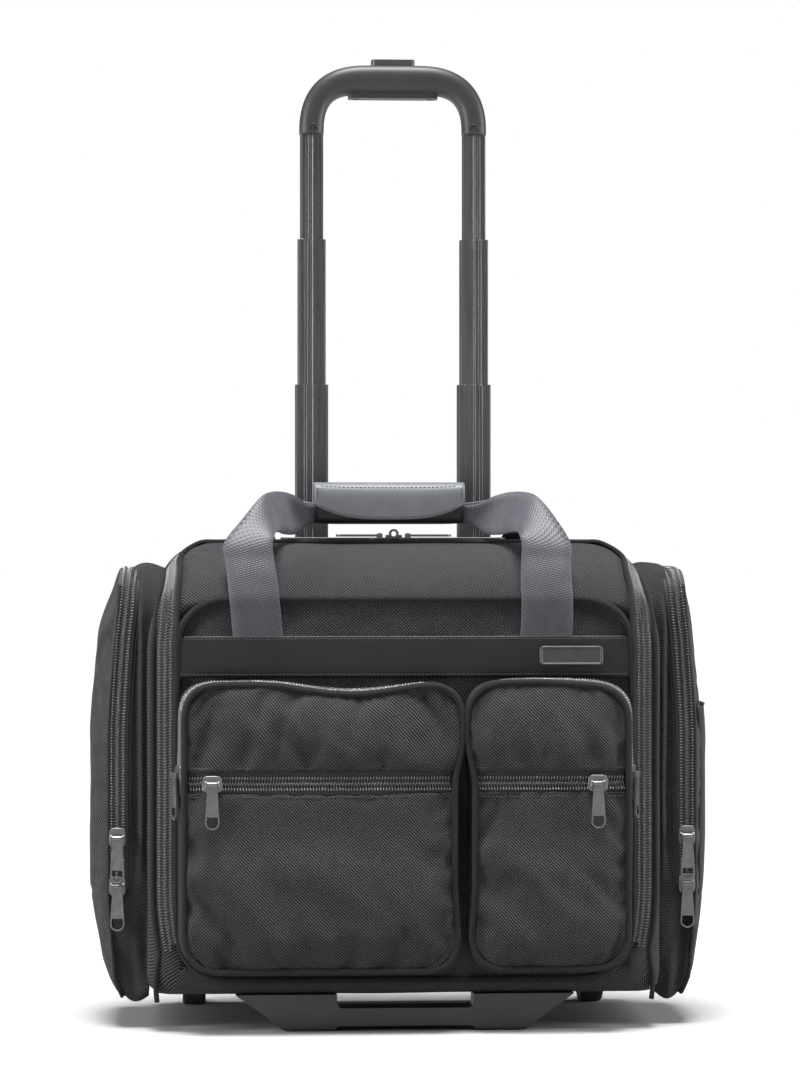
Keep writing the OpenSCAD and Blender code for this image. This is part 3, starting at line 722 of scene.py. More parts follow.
def build_lid():
    """Top of the flap, over the shoulder, with a tuck behind the front panel."""
    rows = []
    for i, y in enumerate(LID_DEPTHS):
        row = top_row(y)
        rows.append([p + crumple(p, 1.3, edge_hold(j, len(row) - 1) * smooth(0, 5, i)
                                 * smooth(0, 6, len(LID_DEPTHS) - 1 - i)) for j, p in enumerate(row)])
    tuck = [p + Vector((-0.03 * p.x, 0.6, -6)) for p in rows[0]]
    sewn_sheet("lid", [tuck] + rows, ["nylon", "lining"], (0, -0.5, 1), CLOTH, "front_flap",
               "ballistic_nylon", "front_shell")


# ---------------------------------------------------------------- zips, piping and stitches


def side_path_start():
    """Where up the side the main zip's chain starts, as a fraction."""
    side = split_ring(SEAM_Y)[0]
    run = travelled(side)
    low = box("main_zip_rear")[0].z
    first = next(i for i, p in enumerate(side) if p.x > 150 and p.z > low)
    return run[first] / run[-1]


def seam_frames():
    """Points and outward normals along the main zip, from low on the right to the top's middle."""
    corner = LID_BACK - LID_CORNER
    marks = [(SEAM_Y, lerp(side_path_start(), 0.995, k / 90)) for k in range(91)]
    marks += [(lerp(SEAM_Y, corner, k / 16), 1.0) for k in range(1, 16)]
    marks += [(corner + LID_CORNER * math.sin(math.radians(a)), 1.0) for a in range(0, 90, 6)]
    marks += [(LID_BACK, lerp(1.0, 2.0, k / 50)) for k in range(51)]
    points, normals = [], []
    for y, f in marks:
        point = surface(y, f)
        if y >= LID_BACK - 0.01:
            normal = Vector((0.12 if f < 1.1 else 0, 0, 1))
        else:
            across = surface(y, min(f + 0.01, 2)) - surface(y, max(f - 0.01, 0))
            ahead = surface(min(y + 0.6, LID_BACK + 0.6), f) - surface(max(y - 0.6, SEAM_Y), f)
            normal = across.cross(ahead)
        points.append(point)
        normals.append(facing(normal, Vector((0, 0, 200)), point).normalized())
    for _ in range(6):
        points[1:-1] = [(a + b * 2 + c) / 4 for a, b, c in zip(points, points[1:], points[2:])]
        normals[1:-1] = [(a + b * 2 + c).normalized() for a, b, c in zip(normals, normals[1:], normals[2:])]
    for i, p in enumerate(points):
        turn_in = max(110 - p.z, 0) / 50
        points[i] = p + Vector((-5.5 * turn_in ** 2, -0.6 * turn_in, 0))
    return points, normals


class Track:
    """A path over cloth with outward normals, read by distance."""

    def __init__(self, points, normals):
        self.points, self.normals = points, normals
        self.run = travelled(points)
        self.length = self.run[-1]

    def at(self, s):
        """Point, direction, normal and the direction across at distance s."""
        p = at_distance(self.points, self.run, s)
        n = at_distance(self.normals, self.run, s).normalized()
        along = at_distance(self.points, self.run, s + 1) - at_distance(self.points, self.run, s - 1)
        along = (along - n * along.dot(n)).normalized()
        return p, along, n, n.cross(along)

    def shifted(self, across, lift, start=0.0, end=None, step=4.0):
        """The path moved sideways and off the cloth, from start to end."""
        end = self.length if end is None else end
        count = max(int((end - start) / step), 2)
        out = []
        for k in range(count + 1):
            p, _, n, w = self.at(lerp(start, end, k / count))
            out.append(p + w * across + n * lift)
        return out

    def reflected(self):
        """The same path on the other side of the case."""
        return Track(mirror(self.points), mirror(self.normals))


# A coil's turn from its outer loop to its head at the middle: distance across, height, half length
TOOTH = [(5.7, 0.1, 0.28), (5.45, 1.35, 0.45), (4.7, 1.9, 0.52), (3.9, 1.5, 0.42), (3.3, 0.2, 0.22),
         (2.6, -0.3, 0.15), (1.9, -0.2, 0.18), (1.3, 0.8, 0.26), (0.5, 1.35, 0.36), (-0.3, 1.0, 0.3),
         (-0.7, 0.1, 0.18)]
TOOTH_SLANT = 0.12
TEETH_LIFT, TAPE_LIFT = 0.3, 0.15             # off the cloth


def add_teeth(work, track, side, start, scale):
    """One row of coil teeth beside a track; side is -1 or 1."""
    for k in range(int((track.length - start) / PITCH)):
        p, along, n, w = track.at(start + (k + (0.25 if side > 0 else 0.75)) * PITCH)
        rings = []
        for across, height, half in TOOTH:
            c = p + w * (side * across * scale) + along * (TOOTH_SLANT * across) + n * TEETH_LIFT
            shoulder = n * height * 0.85 * scale
            rings.append([c - along * half, c - along * half * 0.6 + shoulder, c + n * height * scale,
                          c + along * half * 0.6 + shoulder, c + along * half])
        work.grid(rings)


def add_tape(work, track, side, start, width):
    """The woven tape on one side of a chain."""
    edges = [track.shifted(side * across, TAPE_LIFT + lift, start) for across, lift in
             ((0.25, 0.0), (width * 0.5, 0.0), (width - 0.8, 0.15), (width, -0.4))]
    work.grid([list(row) for row in zip(*edges)])


def build_chain(name, track, body, sides=(-1, 1), start=0.0, scale=1.0, width=7.5, nodes=()):
    """Teeth and tape along a track, riding on a body."""
    teeth, tape = Patchwork(), Patchwork()
    for side in sides:
        add_teeth(teeth, track, side, start, scale)
        add_tape(tape, track, side, start, width)
    row = teeth.make(name + "_teeth", [materials["coil"]], merge=0)
    finish_piece(row, body, "zip_chain", *nodes)
    strip = tape.make(name + "_tape", [materials["tape"]], merge=0, outward=track.at(track.length / 2)[2])
    finish_piece(strip, body, "webbing")


def build_piping(name, path, body, radius=PIPE, closed=False):
    """A round edge of binding cloth along a path."""
    work = Patchwork()
    work.tube(path, radius, sides=10, closed=closed)
    finish_piece(work.make(name, [materials["binding"]]), body, "ballistic_nylon")


def build_stitches(name, runs, body, length=2.1, gap=1.0, radius=0.34):
    """Sewing thread: short raised stitches along each (points, normal) run."""
    work = Patchwork()
    for points, normal in runs:
        run = travelled(points)
        s = gap
        while s + length < run[-1]:
            a, b = at_distance(points, run, s), at_distance(points, run, s + length)
            lift = Vector(normal) * radius * 0.7
            path = [a - lift, a.lerp(b, 0.2) + lift, a.lerp(b, 0.8) + lift, b - lift]
            work.tube(path, radius, sides=5)
            s += length + gap
    finish_piece(work.make(name, [materials["thread"]], merge=0), body, "webbing")


def build_main_zip():
    """Main zip round the flap, one half on the case and one on the flap, with piping beside each."""
    right = Track(*seam_frames())
    flap_start, lid_piping_start = 4, 225
    for name, track, nodes in (("right", right, ("main_zip_rear", "main_zip_front")),
                               ("left", right.reflected(), ())):
        p, _, _, w = track.at(150)
        outer = 1 if w.x * p.x > 0 else -1
        build_chain(f"main_zip_case_{name}", track, "case", (outer,), nodes=nodes[:1])
        build_chain(f"main_zip_flap_{name}", track, "front_flap", (-outer,), flap_start, nodes=nodes[1:])
        binding = track.shifted(outer * 10.2, 0.3)
        foot, turn = binding[0], math.copysign(1, binding[0].x)
        tail = [Vector((turn * 188.6, foot.y + 1, 23)), Vector((turn * 189.5, foot.y, 40)), foot]
        build_piping(f"case_binding_{name}", curve_through(tail, 6)[:-1] + binding, "case", 2.0)
        piping = track.shifted(-outer * 8.6, 0.2, lid_piping_start)
        build_piping(f"lid_piping_{name}", piping, "front_flap", 2.1)


# ---------------------------------------------------------------- front of the flap


def span(outline, b):
    """Ends of an outline at height b."""
    found = []
    for p, q in zip(outline, outline[1:] + outline[:1]):
        low, high = min(p.y, q.y), max(p.y, q.y)
        if low - 1e-6 <= b <= high + 1e-6:
            if high - low < 1e-6:
                found += [p.x, q.x]
            else:
                found.append(lerp(p.x, q.x, (b - p.y) / (q.y - p.y)))
    return min(found), max(found)


def levels(outline, low, high, step=4.0):
    """Heights for the rows of a sheet: the outline's own corners, and even steps between."""
    marks = sorted({round(p.y, 4) for p in outline if low < p.y < high} | {low, high})
    out = [marks[0]]
    for a, b in zip(marks, marks[1:]):
        count = max(int((b - a) / step), 1)
        out += [lerp(a, b, k / count) for k in range(1, count + 1)]
    return out


def sheet_rows(outline, low, high, shape, columns=48, step=4.0):
    """Rows that fill an outline from low to high; shape turns (a, b) into a point."""
    rows = []
    for b in levels(outline, low, high, step):
        a0, a1 = span(outline, b)
        rows.append([shape(lerp(a0, a1, j / columns), b) for j in range(columns + 1)])
    return rows


def build_front_panel():
    """Stiffened panel inside the piping, slightly quilted by its own slack."""
    limits = (-PANEL_HALF, panel_low.z, PANEL_HALF, panel_high.z)
    outline = rounded_box(*limits, [46, 46, 44, 44])

    def shape(a, b):
        d = inside_depth(a, b, limits, 40)
        puff = 0.9 + 1.5 * ripple((a, 0, b), 34, 2.2) + 1.1 * ripple((a, 5, b), 17, 4.0)
        return Vector((a, FRONT + 1.0 - puff * smooth(2, 16, d), b))

    rows = sheet_rows(outline, limits[1], limits[3], shape, columns=70, step=5)
    sewn_sheet("front_panel_cloth", rows, ["nylon", "lining"], (0, -1, 0), panel_high.y - panel_low.y,
               "front_flap", "ballistic_nylon", "front_panel")
    ring = [Vector((p.x, FRONT - 0.9, p.y)) for p in outline]
    ring = resample(ring + ring[:1], 260)[:-1]
    build_piping("front_panel_piping", ring, "front_flap", PIPE + 0.2, closed=True)


def build_flap_fold():
    """The cloth along the flap's hinge, curved between the case and the flap; it rides on neither body."""
    hinge = Patchwork()
    reach = PANEL_HALF - 44
    hinge.grid([[Vector((lerp(-reach, reach, j / 40), FRONT + y, BOTTOM + z)) for j in range(41)]
                for y, z in ((6, 3.2), (2, 4.5), (0.2, 7.5), (-0.5, 11), (1.4, 16))])
    fold = hinge.make("flap_fold", [materials["nylon"]], outward=(0, -1, 0))
    finish_piece(fold, None, "ballistic_nylon")
    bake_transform(fold)


def build_leather_band():
    """Flat leather band with a turned edge and a row of stitches along it."""
    low, high = box("leather_band")
    limits = (low.x, low.z, high.x, high.z)
    thick = high.y - low.y

    def shape(a, b):
        d = inside_depth(a, b, limits, 2)
        edge = 1 - math.exp(-max(d, 0) / 0.8)
        seam = 0.45 * math.exp(-((d - 2.6) / 0.9) ** 2)
        swell = 0.35 * ripple((a, 0, b), 26, 5.5)
        return Vector((a, high.y - 0.2 - thick * edge * 0.95 + seam - swell * edge, b))

    steps = (0, 0.4, 1, 1.8, 2.6, 3.4, 4.5, 8, 12)
    heights = [low.z + step for step in steps + (16,)] + [high.z - step for step in steps[::-1]]
    rows = [[shape(lerp(low.x, high.x, j / 110), b) for j in range(111)] for b in heights]
    sewn_sheet("leather_band_front", rows, ["leather"], (0, -1, 0), 1.0, "front_flap", "leather",
               "leather_band")
    runs = [([shape(lerp(low.x + 2, high.x - 2, k / 90), z) for k in range(91)], (0, -1, 0))
            for z in (low.z + 2.6, high.z - 2.6)]
    build_stitches("leather_band_stitches", runs, "front_flap")


def build_badge():
    """Blank metal plate with a raised rim."""
    low, high = box("badge")
    plate = Patchwork()
    rings = []
    for inset, y in ((0, high.y), (0, low.y + 0.7), (0.25, low.y + 0.2), (0.8, low.y), (1.5, low.y),
                     (1.9, low.y + 0.25), (2.1, low.y + 0.5), (2.3, low.y + 0.55), (3.0, low.y + 0.55)):
        flat = rounded_box(low.x + inset, low.z + inset, high.x - inset, high.z - inset,
                           [max(3.2 - inset, 0.3)] * 4, 5)
        rings.append([Vector((p.x, y, p.y)) for p in flat])
    plate.grid(rings, closed=True)
    plate.fan(rings[-1], sum(rings[-1], Vector()) / len(rings[-1]))
    plate.fan(rings[0][::-1], sum(rings[0], Vector()) / len(rings[0]))
    finish_piece(plate.make("badge_plate", [materials["badge"]]), "front_flap", "gunmetal", "badge")


class Pouch:
    """A pocket with a gusset, an edge and a bulged face. place turns (a, b, height) into a point."""

    def __init__(self, limits, foot, cuts, depth, place, bulge):
        """Outlines of the edge and the foot, rounded by cuts, with more points on their straight runs."""
        self.limits, self.depth, self.place, self.bulge = limits, depth, place, bulge
        edge, base = rounded_box(*limits, cuts, 8), rounded_box(*foot, cuts, 8)
        self.edge, self.base = [], []
        for i, p in enumerate(edge):
            j = (i + 1) % len(edge)
            count = max(int((edge[j] - p).length / 5), 1)
            for k in range(count):
                self.edge.append(p.lerp(edge[j], k / count))
                self.base.append(base[i].lerp(base[j], k / count))

    def gusset_point(self, i, t):
        """A point on the gusset over outline step i, t from foot to edge."""
        a = lerp(self.base[i].x, self.edge[i].x, t)
        b = lerp(self.base[i].y, self.edge[i].y, t)
        p = self.place(a, b, self.depth * t)
        return p + crumple(p, 1.6 * math.sin(math.pi * min(max(t, 0), 1)))

    def face_point(self, a, b, lift=0.0):
        """A point on the face, or that far off it."""
        return self.place(a, b, self.depth + self.bulge(a, b) + lift)

    def rim(self):
        """Where gusset and face meet, all the way round."""
        return [self.place(q.x, q.y, self.depth) for q in self.edge]


def turn_in(pouch, rows, below):
    """rows with their first edge (below) or last edge turned in where a zip runs past it."""
    origin = pouch.place(0, 0, 0)
    outward = (pouch.place(0, 0, 10) - origin).normalized()
    edge, way = (rows[0], -1) if below else (rows[-1], 1)
    tuck = [[p - outward * back + pouch.place(0, shift * way, 0) - origin for p in edge]
            for back, shift in ((0.7, 0.55), (1.8, 0.5), (2.6, -1.2))]
    return tuck[::-1] + rows if below else rows + tuck


def make_pouch(name, pouch, body, bands, swell, steps, room=None):
    """Gusset and face of a pouch. bands are the heights of the face's separate cloths, swell is what
    settle() is given, steps counts the gusset's rows and room is what leave_room() is given."""
    side = Patchwork()
    side.grid([[pouch.gusset_point(i, t / steps) for i in range(len(pouch.edge))] for t in range(steps + 1)],
              closed=True)
    gusset = side.make(name + "_gusset", [materials["gusset"]], merge=0.05)
    thicken(gusset, 1.2)
    finish_piece(gusset, body, "ballistic_nylon", name)
    face = Patchwork()
    for low, high in bands:
        rows = sheet_rows(pouch.edge, low, high, pouch.face_point, step=3.5, columns=56)
        if low > pouch.limits[1]:
            rows = turn_in(pouch, rows, True)
        if high < pouch.limits[3]:
            rows = turn_in(pouch, rows, False)
        face.grid(rows)
    outward = pouch.place(0, 0, 10) - pouch.place(0, 0, 0)
    sheet = face.make(name + "_face", [materials["nylon"]], outward=outward, merge=0.05)
    settle(sheet, *swell)
    if room:
        leave_room(sheet, *room)
    thicken(sheet, 1.2)
    finish_piece(sheet, body, "ballistic_nylon")


zip_low, zip_high = box("face_zips")
FACE_ZIP_Z = (zip_low.z + zip_high.z) / 2
BELOW_ZIP, ABOVE_ZIP = 7.6, 9.4               # from there to the edges of the cloth


def front_pocket_shape(side):
    """The left (side -1) or right front pocket as a pouch."""
    low, high = box(f"pocket_{hand(side)}")
    foot = (low.x, low.z, high.x, high.z)
    flare = 6
    limits = (low.x + (flare if side < 0 else 1), low.z, high.x - (1 if side < 0 else flare), high.z - 2)
    left, bottom, right, top = limits
    depth = FRONT - low.y - 5.8

    def place(a, b, height):
        """Height stands forward of the panel. The top edge sways, and the inner edge is pinched in."""
        out = height / depth
        across = (a - left) / (right - left)
        if side < 0:
            dip = -7.5 * math.exp(-((across - 0.6) / 0.22) ** 2)
        else:
            dip = -4 + 4 * math.sin(math.pi * min(max(across * 0.8 + 0.2, 0), 1))
        dip += 0.8 * ripple((a, 40 * side, 0), 42, 1.9)
        sway = dip * smooth(top - 60, top, b) * (0.75 + 0.25 * out)
        inner = right - a if side < 0 else a - left
        pinch = 6 * math.exp(-max(inner, 0) / 22) * (1 - smooth(FACE_ZIP_Z - 4, FACE_ZIP_Z + 36, b))
        pinch *= 0.35 + 0.65 * smooth(bottom, bottom + 70, b)
        return Vector((a + side * pinch * (0.4 + 0.6 * out), FRONT - height, b + sway))

    def bulge(a, b):
        """Swell with slanting folds and gathers that fade out near the edge and the face zip."""
        d = inside_depth(a, b, limits, 26)
        near = abs(b - FACE_ZIP_Z)
        rise = 6.2 * (1 - math.exp(-max(d, 0) / 24)) - 1.2 * math.exp(-(d / 3.0) ** 2)
        turn_a, turn_b = (a + b) * 0.707, (b - a) * 0.707
        folds = 2.6 * ripple((turn_a / 24, turn_b / 80, side), 1, 3.0) \
            + 1.1 * ripple((turn_a / 11, turn_b / 44, side), 1, 6.0)
        gathers = 5.2 * ripple(((a + 0.25 * side * (b - FACE_ZIP_Z)) / 17, 0, side), 1, 8.0) - 1.5
        folds += gathers * math.exp(-near / 46)
        seat = 0.9 * math.exp(-(near / 14) ** 2)
        return rise + folds * smooth(3, 22, d) * smooth(9, 24, near) - seat

    return Pouch(limits, foot, [30, 30, 28, 28], depth, place, bulge)


def add_face_zip(name, pouch, nodes):
    """Zip across a front pocket's face, with stitches above and below it."""
    a0, a1 = pouch.limits[0] + 3, pouch.limits[2] - 3
    path = [pouch.face_point(lerp(a0, a1, k / 60), FACE_ZIP_Z, -1.6) for k in range(61)]
    track = Track(path, [Vector((0, -1, 0))] * len(path))
    build_chain(f"face_zip_{name}", track, "front_flap", scale=0.94, width=11, nodes=nodes)
    runs = []
    for z in (FACE_ZIP_Z - BELOW_ZIP - 2.2, FACE_ZIP_Z + ABOVE_ZIP + 2.2):
        runs.append(([pouch.face_point(lerp(a0, a1, k / 60), z, 0.1) for k in range(61)], (0, -1, 0)))
    build_stitches(f"{name}_zip_stitches", runs, "front_flap", radius=0.25)


def gusset_zip_steps(pouch, side):
    """Outline steps that the zip round a front pocket follows: up its outer edge and along its top."""
    left, _, right, top = pouch.limits
    outer, inner = (left, right) if side < 0 else (right, left)
    lowest, short_of_inner = 176, 24

    def order(i):
        """Height on the way up, then distance along the top."""
        q = pouch.edge[i]
        if abs(q.x - outer) < 25 and q.y < top - 26:
            return q.y
        return 10000 + (outer - q.x) * side

    def followed(q):
        """Whether the zip passes this point of the outline."""
        far_below_top = (outer - q.x) * side > 60 and q.y < top - 8
        return q.y > lowest and (q.x - inner) * side > short_of_inner and not far_below_top

    return sorted((i for i, q in enumerate(pouch.edge) if followed(q)), key=order)


def add_gusset_zip(name, pouch, side, nodes):
    """Zip round a front pocket's gusset, at the depth of its slider."""
    left, bottom, right, top = pouch.limits
    t = 11 / pouch.depth
    points, normals = [], []
    for i in gusset_zip_steps(pouch, side):
        p = pouch.gusset_point(i, t)
        along = pouch.gusset_point((i + 1) % len(pouch.edge), t) - pouch.gusset_point(i - 1, t)
        up = pouch.gusset_point(i, t + 0.1) - pouch.gusset_point(i, t - 0.1)
        centre = Vector(((left + right) / 2, p.y, (bottom + top) / 2))
        normal = facing(along.cross(up).normalized(), centre, p)
        points.append(p + normal * 0.3)
        normals.append(normal)
    track = Track(points, normals)
    build_chain(f"gusset_zip_{name}", track, "front_flap", scale=0.62, width=5.6, nodes=nodes)


def build_front_pocket(side):
    """The left (side -1) or right front pocket with its zips; the left one's zips stand for both."""
    name = f"pocket_{hand(side)}"
    pouch = front_pocket_shape(side)
    pull_low, pull_high = box(f"pull_face_{hand(side)}")
    bands = [(pouch.limits[1], FACE_ZIP_Z - BELOW_ZIP), (FACE_ZIP_Z + ABOVE_ZIP, pouch.limits[3])]
    make_pouch(name, pouch, "front_flap", bands, (3.0, 0.025, 4.0), steps=8,
               room=(pull_high.y + 0.3, pull_low.z - 2, pull_high.z))
    build_piping(name + "_piping", pouch.rim(), "front_flap", closed=True)
    add_face_zip(name, pouch, ["face_zips"] if side < 0 else [])
    add_gusset_zip(name, pouch, side, ["pocket_zips"] if side < 0 else [])


# ---------------------------------------------------------------- side pockets


side_zip_low, side_zip_high = box("slider_side_left_lower")
SIDE_ZIP_Z = side_zip_low.z                   # the side zips end here, above the front's lower cloth
SIDE_ZIP_X = abs(side_zip_low.x + side_zip_high.x) / 2


def side_pocket_shape(side):
    """The left (side -1) or right side pocket, as a pouch lying along X."""
    low, high = box(f"side_pocket_{hand(side)}")
    reach = max(abs(low.x), abs(high.x))
    depth = 225.5 - HALF
    limits = (low.y, low.z, high.y, high.z)

    def edge_x(b):
        """Where the gusset meets the face: closer in near the top and the bottom."""
        return HALF + depth - 8.5 * smooth(215, high.z, b) - 5 * (1 - smooth(low.z, 110, b)) \
            - 5 * (1 - smooth(low.z - 2, low.z + 16, b))

    def place(a, b, height):
        """Height stands out from the case's side. The front gusset is dented beside and below its zip."""
        t = height / depth
        x = lerp(HALF - lean_at(b) - 1, edge_x(b), t) if t <= 1 else edge_x(b) + height - depth
        dent = rise = 0.0
        if t <= 1:
            rise = (5.5 * math.sin(math.pi * t) - 8 * t ** 3) * smooth(high.z - 14, high.z, b)
        if a < low.y + 5 and t < 1:
            above = smooth(SIDE_ZIP_Z - 6, SIDE_ZIP_Z + 50, b) * (1 - smooth(high.z - 40, high.z - 5, b))
            dent += above * (4.6 * math.exp(-((x - 206.5) / 2.6) ** 2)
                             - 4.0 * math.exp(-((x - 200.5) / 2.6) ** 2))
            below = smooth(low.z - 4, low.z + 16, b) * (1 - smooth(SIDE_ZIP_Z - 22, SIDE_ZIP_Z - 2, b))
            slant = (x - 0.16 * (b - low.z)) / 8.5
            dent += 4.6 * ripple((slant, 3, b / 60), 1, 2.0 + side) * below * math.sin(math.pi * t) ** 0.5
            dent += 1.2 * math.exp(-((b - SIDE_ZIP_Z + 1) / 1.5) ** 2) * (1 - smooth(206, 212, x))
            rise -= (5.0 * math.sin(math.pi * t) - 4 * t ** 4) * (1 - smooth(low.z, low.z + 14, b))
        return Vector((side * x, a + dent, b + rise))

    def bulge(a, b):
        """Crown that falls off towards the top and the bottom, with a seam level with the zip's end."""
        d = min(a - low.y, high.y - a)
        crown = (reach - HALF - depth + 1.6) * smooth(-8, 122, b) * (1 - smooth(298, high.z + 6, b))
        soft = 1.5 * ripple((a, side * 20, b), 58, 1.1) + 0.6 * ripple((a, side * 20, b), 24, 4.1)
        soft *= smooth(4, 22, d) * smooth(low.z, low.z + 20, b) * (1 - smooth(high.z - 20, high.z, b))
        seam = 0.9 * math.exp(-((b - SIDE_ZIP_Z) / 1.6) ** 2)
        return crown * (1 - math.exp(-max(d, 0) / 9)) + soft - seam * smooth(2, 8, d)

    return Pouch(limits, limits, [8, 12, 34, 34], depth, place, bulge)


def add_side_zip(pouch, side):
    """Zip round a side pocket's gusset, from its end at the front up, over the top and down the back."""
    front, bottom, back, top = pouch.limits
    centre = Vector((0, (front + back) / 2, (bottom + top) / 2))
    keep = [i for i, q in enumerate(pouch.edge) if q.y > SIDE_ZIP_Z + 2]
    keep.sort(key=lambda i: math.atan2(pouch.edge[i].x - 8, pouch.edge[i].y - SIDE_ZIP_Z + 60))
    points, normals = [], []
    for i in keep:
        before, after = pouch.edge[i - 1], pouch.edge[(i + 1) % len(pouch.edge)]
        p = pouch.place(*pouch.edge[i], SIDE_ZIP_X - HALF)
        normal = Vector((0, -(after.y - before.y), after.x - before.x)).normalized()
        normal = facing(normal, centre, p)
        points.append(p + normal * 0.4)
        normals.append(normal)
    track = Track(points, normals)
    build_chain(f"side_zip_{hand(side)}", track, "case", width=8.2, nodes=["side_zips"] if side < 0 else [])
    line = track.shifted(9.6 * side, 0.2, 6, track.length - 6, 6)
    build_stitches(f"side_pocket_{hand(side)}_stitches", [(line, (0, -1, 0))], "case", radius=0.22)


def build_side_pocket(side):
    """A side pocket with its zip; returns its shape, which the slip pocket follows."""
    name = f"side_pocket_{hand(side)}"
    pouch = side_pocket_shape(side)
    make_pouch(name, pouch, "case", [(pouch.limits[1], pouch.limits[3])], (0.6, 0.012, 2.0), steps=20)
    build_piping(name + "_seam", pouch.rim(), "case", 1.5, closed=True)
    add_side_zip(pouch, side)
    return pouch


def build_slip_pocket(pouch):
    """Open-topped pocket sewn on the right side pocket, standing a little off it."""
    low, high = box("slip_pocket")
    stand = 5.2

    def shape(a, b):
        d = min(a - low.y, high.y - a, b - low.z)
        lift = 0.6 + stand * (1 - math.exp(-max(d, 0) / 7)) * (0.8 + 0.2 * smooth(low.z, high.z, b))
        return pouch.face_point(a, b, lift)

    outline = rounded_box(low.y, low.z, high.y, high.z, [10, 10, 0, 0], 5)
    sewn_sheet("slip_pocket_cloth", sheet_rows(outline, low.z, high.z, shape, columns=30, step=5),
               ["nylon", "lining"], (1, 0, 0), 1.2, "case", "ballistic_nylon", "slip_pocket")
    top = [shape(lerp(low.y, high.y, k / 40), high.z) for k in range(41)]
    build_piping("slip_pocket_hem", top[1:-1], "case", 1.0)
    line = [shape(lerp(low.y + 1, high.y - 1, k / 40), high.z - 12) + Vector((0.2, 0, 0)) for k in range(41)]
    build_stitches("slip_pocket_stitches", [(line, (1, 0, 0))], "case", radius=0.25)


# ---------------------------------------------------------------- back and inside


def build_back_panel():
    """Padded panel on the back, with piping and stitches that stop at the wheels."""
    low, high = box("back_panel")
    limits = (low.x, low.z, high.x, high.z)
    outline = rounded_box(*limits, [24] * 4, 6)

    def shape(a, b):
        d = inside_depth(a, b, limits, 22)
        puff = 1.6 * (1 - math.exp(-max(d, 0) / 14)) + 0.5 * ripple((a, 9, b), 60, 2.0)
        return Vector((a, BACK + 0.4 + puff * smooth(0, 6, d), b))

    piece = sewn_sheet("back_panel_cloth", sheet_rows(outline, low.z, high.z, shape, columns=50, step=6),
                       ["nylon"], (0, 1, 0), 1.6, "case", "ballistic_nylon", "back_panel", holes=wheel_bays)

    inset, widest_gap = 7, 12
    seam = rounded_box(low.x + inset, low.z + inset, high.x - inset, high.z - inset, [20] * 4, 6)
    line = [shape(p.x, p.y) + Vector((0, 0.2, 0)) for p in seam]
    parts = [[]]
    for p in resample(line + line[:1], 300):
        if abs(p.x) < BAY_X - BAY_HALF - 2 or p.z > BAY_TOP + 2:
            if parts[-1] and (p - parts[-1][-1]).length > widest_gap:
                parts.append([])
            parts[-1].append(p)
    build_stitches("back_panel_stitches", [(part, (0, 1, 0)) for part in parts], "case")
    rim = [shape(p.x, p.y) for p in outline]
    rim = [p for p in resample(rim + rim[:1], 300)[:-1] if p.z > BAY_TOP + 3]
    rim.sort(key=lambda p: math.atan2(p.x, p.z - 150))
    build_piping("back_panel_piping", rim, "case", 1.8)


def build_lining_panel():
    """Cloth-covered board in front of the pull handle's tubes."""
    low, high = box("lining_panel")
    outline = rounded_box(low.x + 1, low.z, high.x - 1, high.z - 1, [4, 4, 30, 30], 6)

    def shape(a, b):
        d = inside_depth(a, b, (low.x, low.z, high.x, high.z), 10)
        scale = (HALF - 4 - lean_at(b)) / (HALF - 4)
        return Vector((a * scale, high.y - 0.4 - 2.2 * (1 - math.exp(-max(d, 0) / 8)), b))

    sewn_sheet("lining_panel_cloth", sheet_rows(outline, low.z, high.z - 1, shape, columns=40, step=8),
               ["lining"], (0, -1, 0), 1.4, "case", "lining", "lining_panel", holes=wheel_bays)


# ---------------------------------------------------------------- carrying straps and wrap


WEB_THICK = 2.0
STRAP_MID = -9
band_front = box("leather_band")[0].y + 1
# Outer and inner edge of the left half of each strap, as x, y from its sewn end, and z
FRONT_EDGES = [
    ((-131, 1.4, 290), (-93, 1.4, 290)), ((-131, 1.2, 299), (-93, 1.2, 299)),
    ((-132, -0.3, 309), (-94, -0.3, 309)), ((-133, -2.6, 320), (-95, -2.6, 320)),
    ((-134, -4.2, 329), (-96, -4.2, 329)), ((-135, -2.2, 340), (-97, -2.4, 340)),
    ((-136, 0.6, 350), (-98.5, 0, 350)), ((-137, 4, 359), (-100, 3.5, 360)),
    ((-138, 9, 371), (-101, 6, 370)), ((-124, 23, 389), (-99.5, 10, 376)),
    ((-110, 40, 406), (-98, 21, 379.5)), ((-102, 51, 410.5), (-95, 36, 379.5)),
    ((-92, 60, 411), (-90, 50, 378)), ((-82, 64, 408), (-81, 60, 378.5)),
    ((-70, 66, 401), (-69.5, 65.5, 386)), ((-50, 66, 401), (-50, 66, 386))]
REAR_EDGES = [
    ((-131, 0, 290), (-93, 0, 290)), ((-131, 0, 320), (-93, 0, 320)), ((-130, 0, 350), (-93, 0, 352)),
    ((-127, -3, 364), (-93, -3, 368)), ((-123, -12, 376), (-95, -9, 377)),
    ((-118, -28, 387), (-97, -18, 380)), ((-111, -47, 396), (-97, -33, 382)),
    ((-103, -66, 403), (-94, -50, 383)), ((-94, -84, 406), (-88, -72, 384)),
    ((-83, -96, 406), (-80, -90, 385)), ((-68, -103, 403), (-67, -101, 387)),
    ((-48, -105, 402), (-48, -105, 387))]


def whole_strap(half, y):
    """Both edges of a whole strap, on smooth curves."""

    def far_side(p):
        """The right half, whose leg stands straighter."""
        push = 14 * (1 - math.exp(-((p.x + 50) / 30) ** 2))
        if p.y < 0:
            push -= 7 * smooth(299, 371, p.z) * (1 - smooth(371, 400, p.z))
        return Vector((2 * STRAP_MID - p.x + push, p.y, p.z))

    edges = []
    for edge in zip(*half):
        near = [Vector((px, y + py, pz)) for px, py, pz in edge]
        edges.append(curve_through(near + [far_side(p) for p in near[::-1]], 6))
    return edges


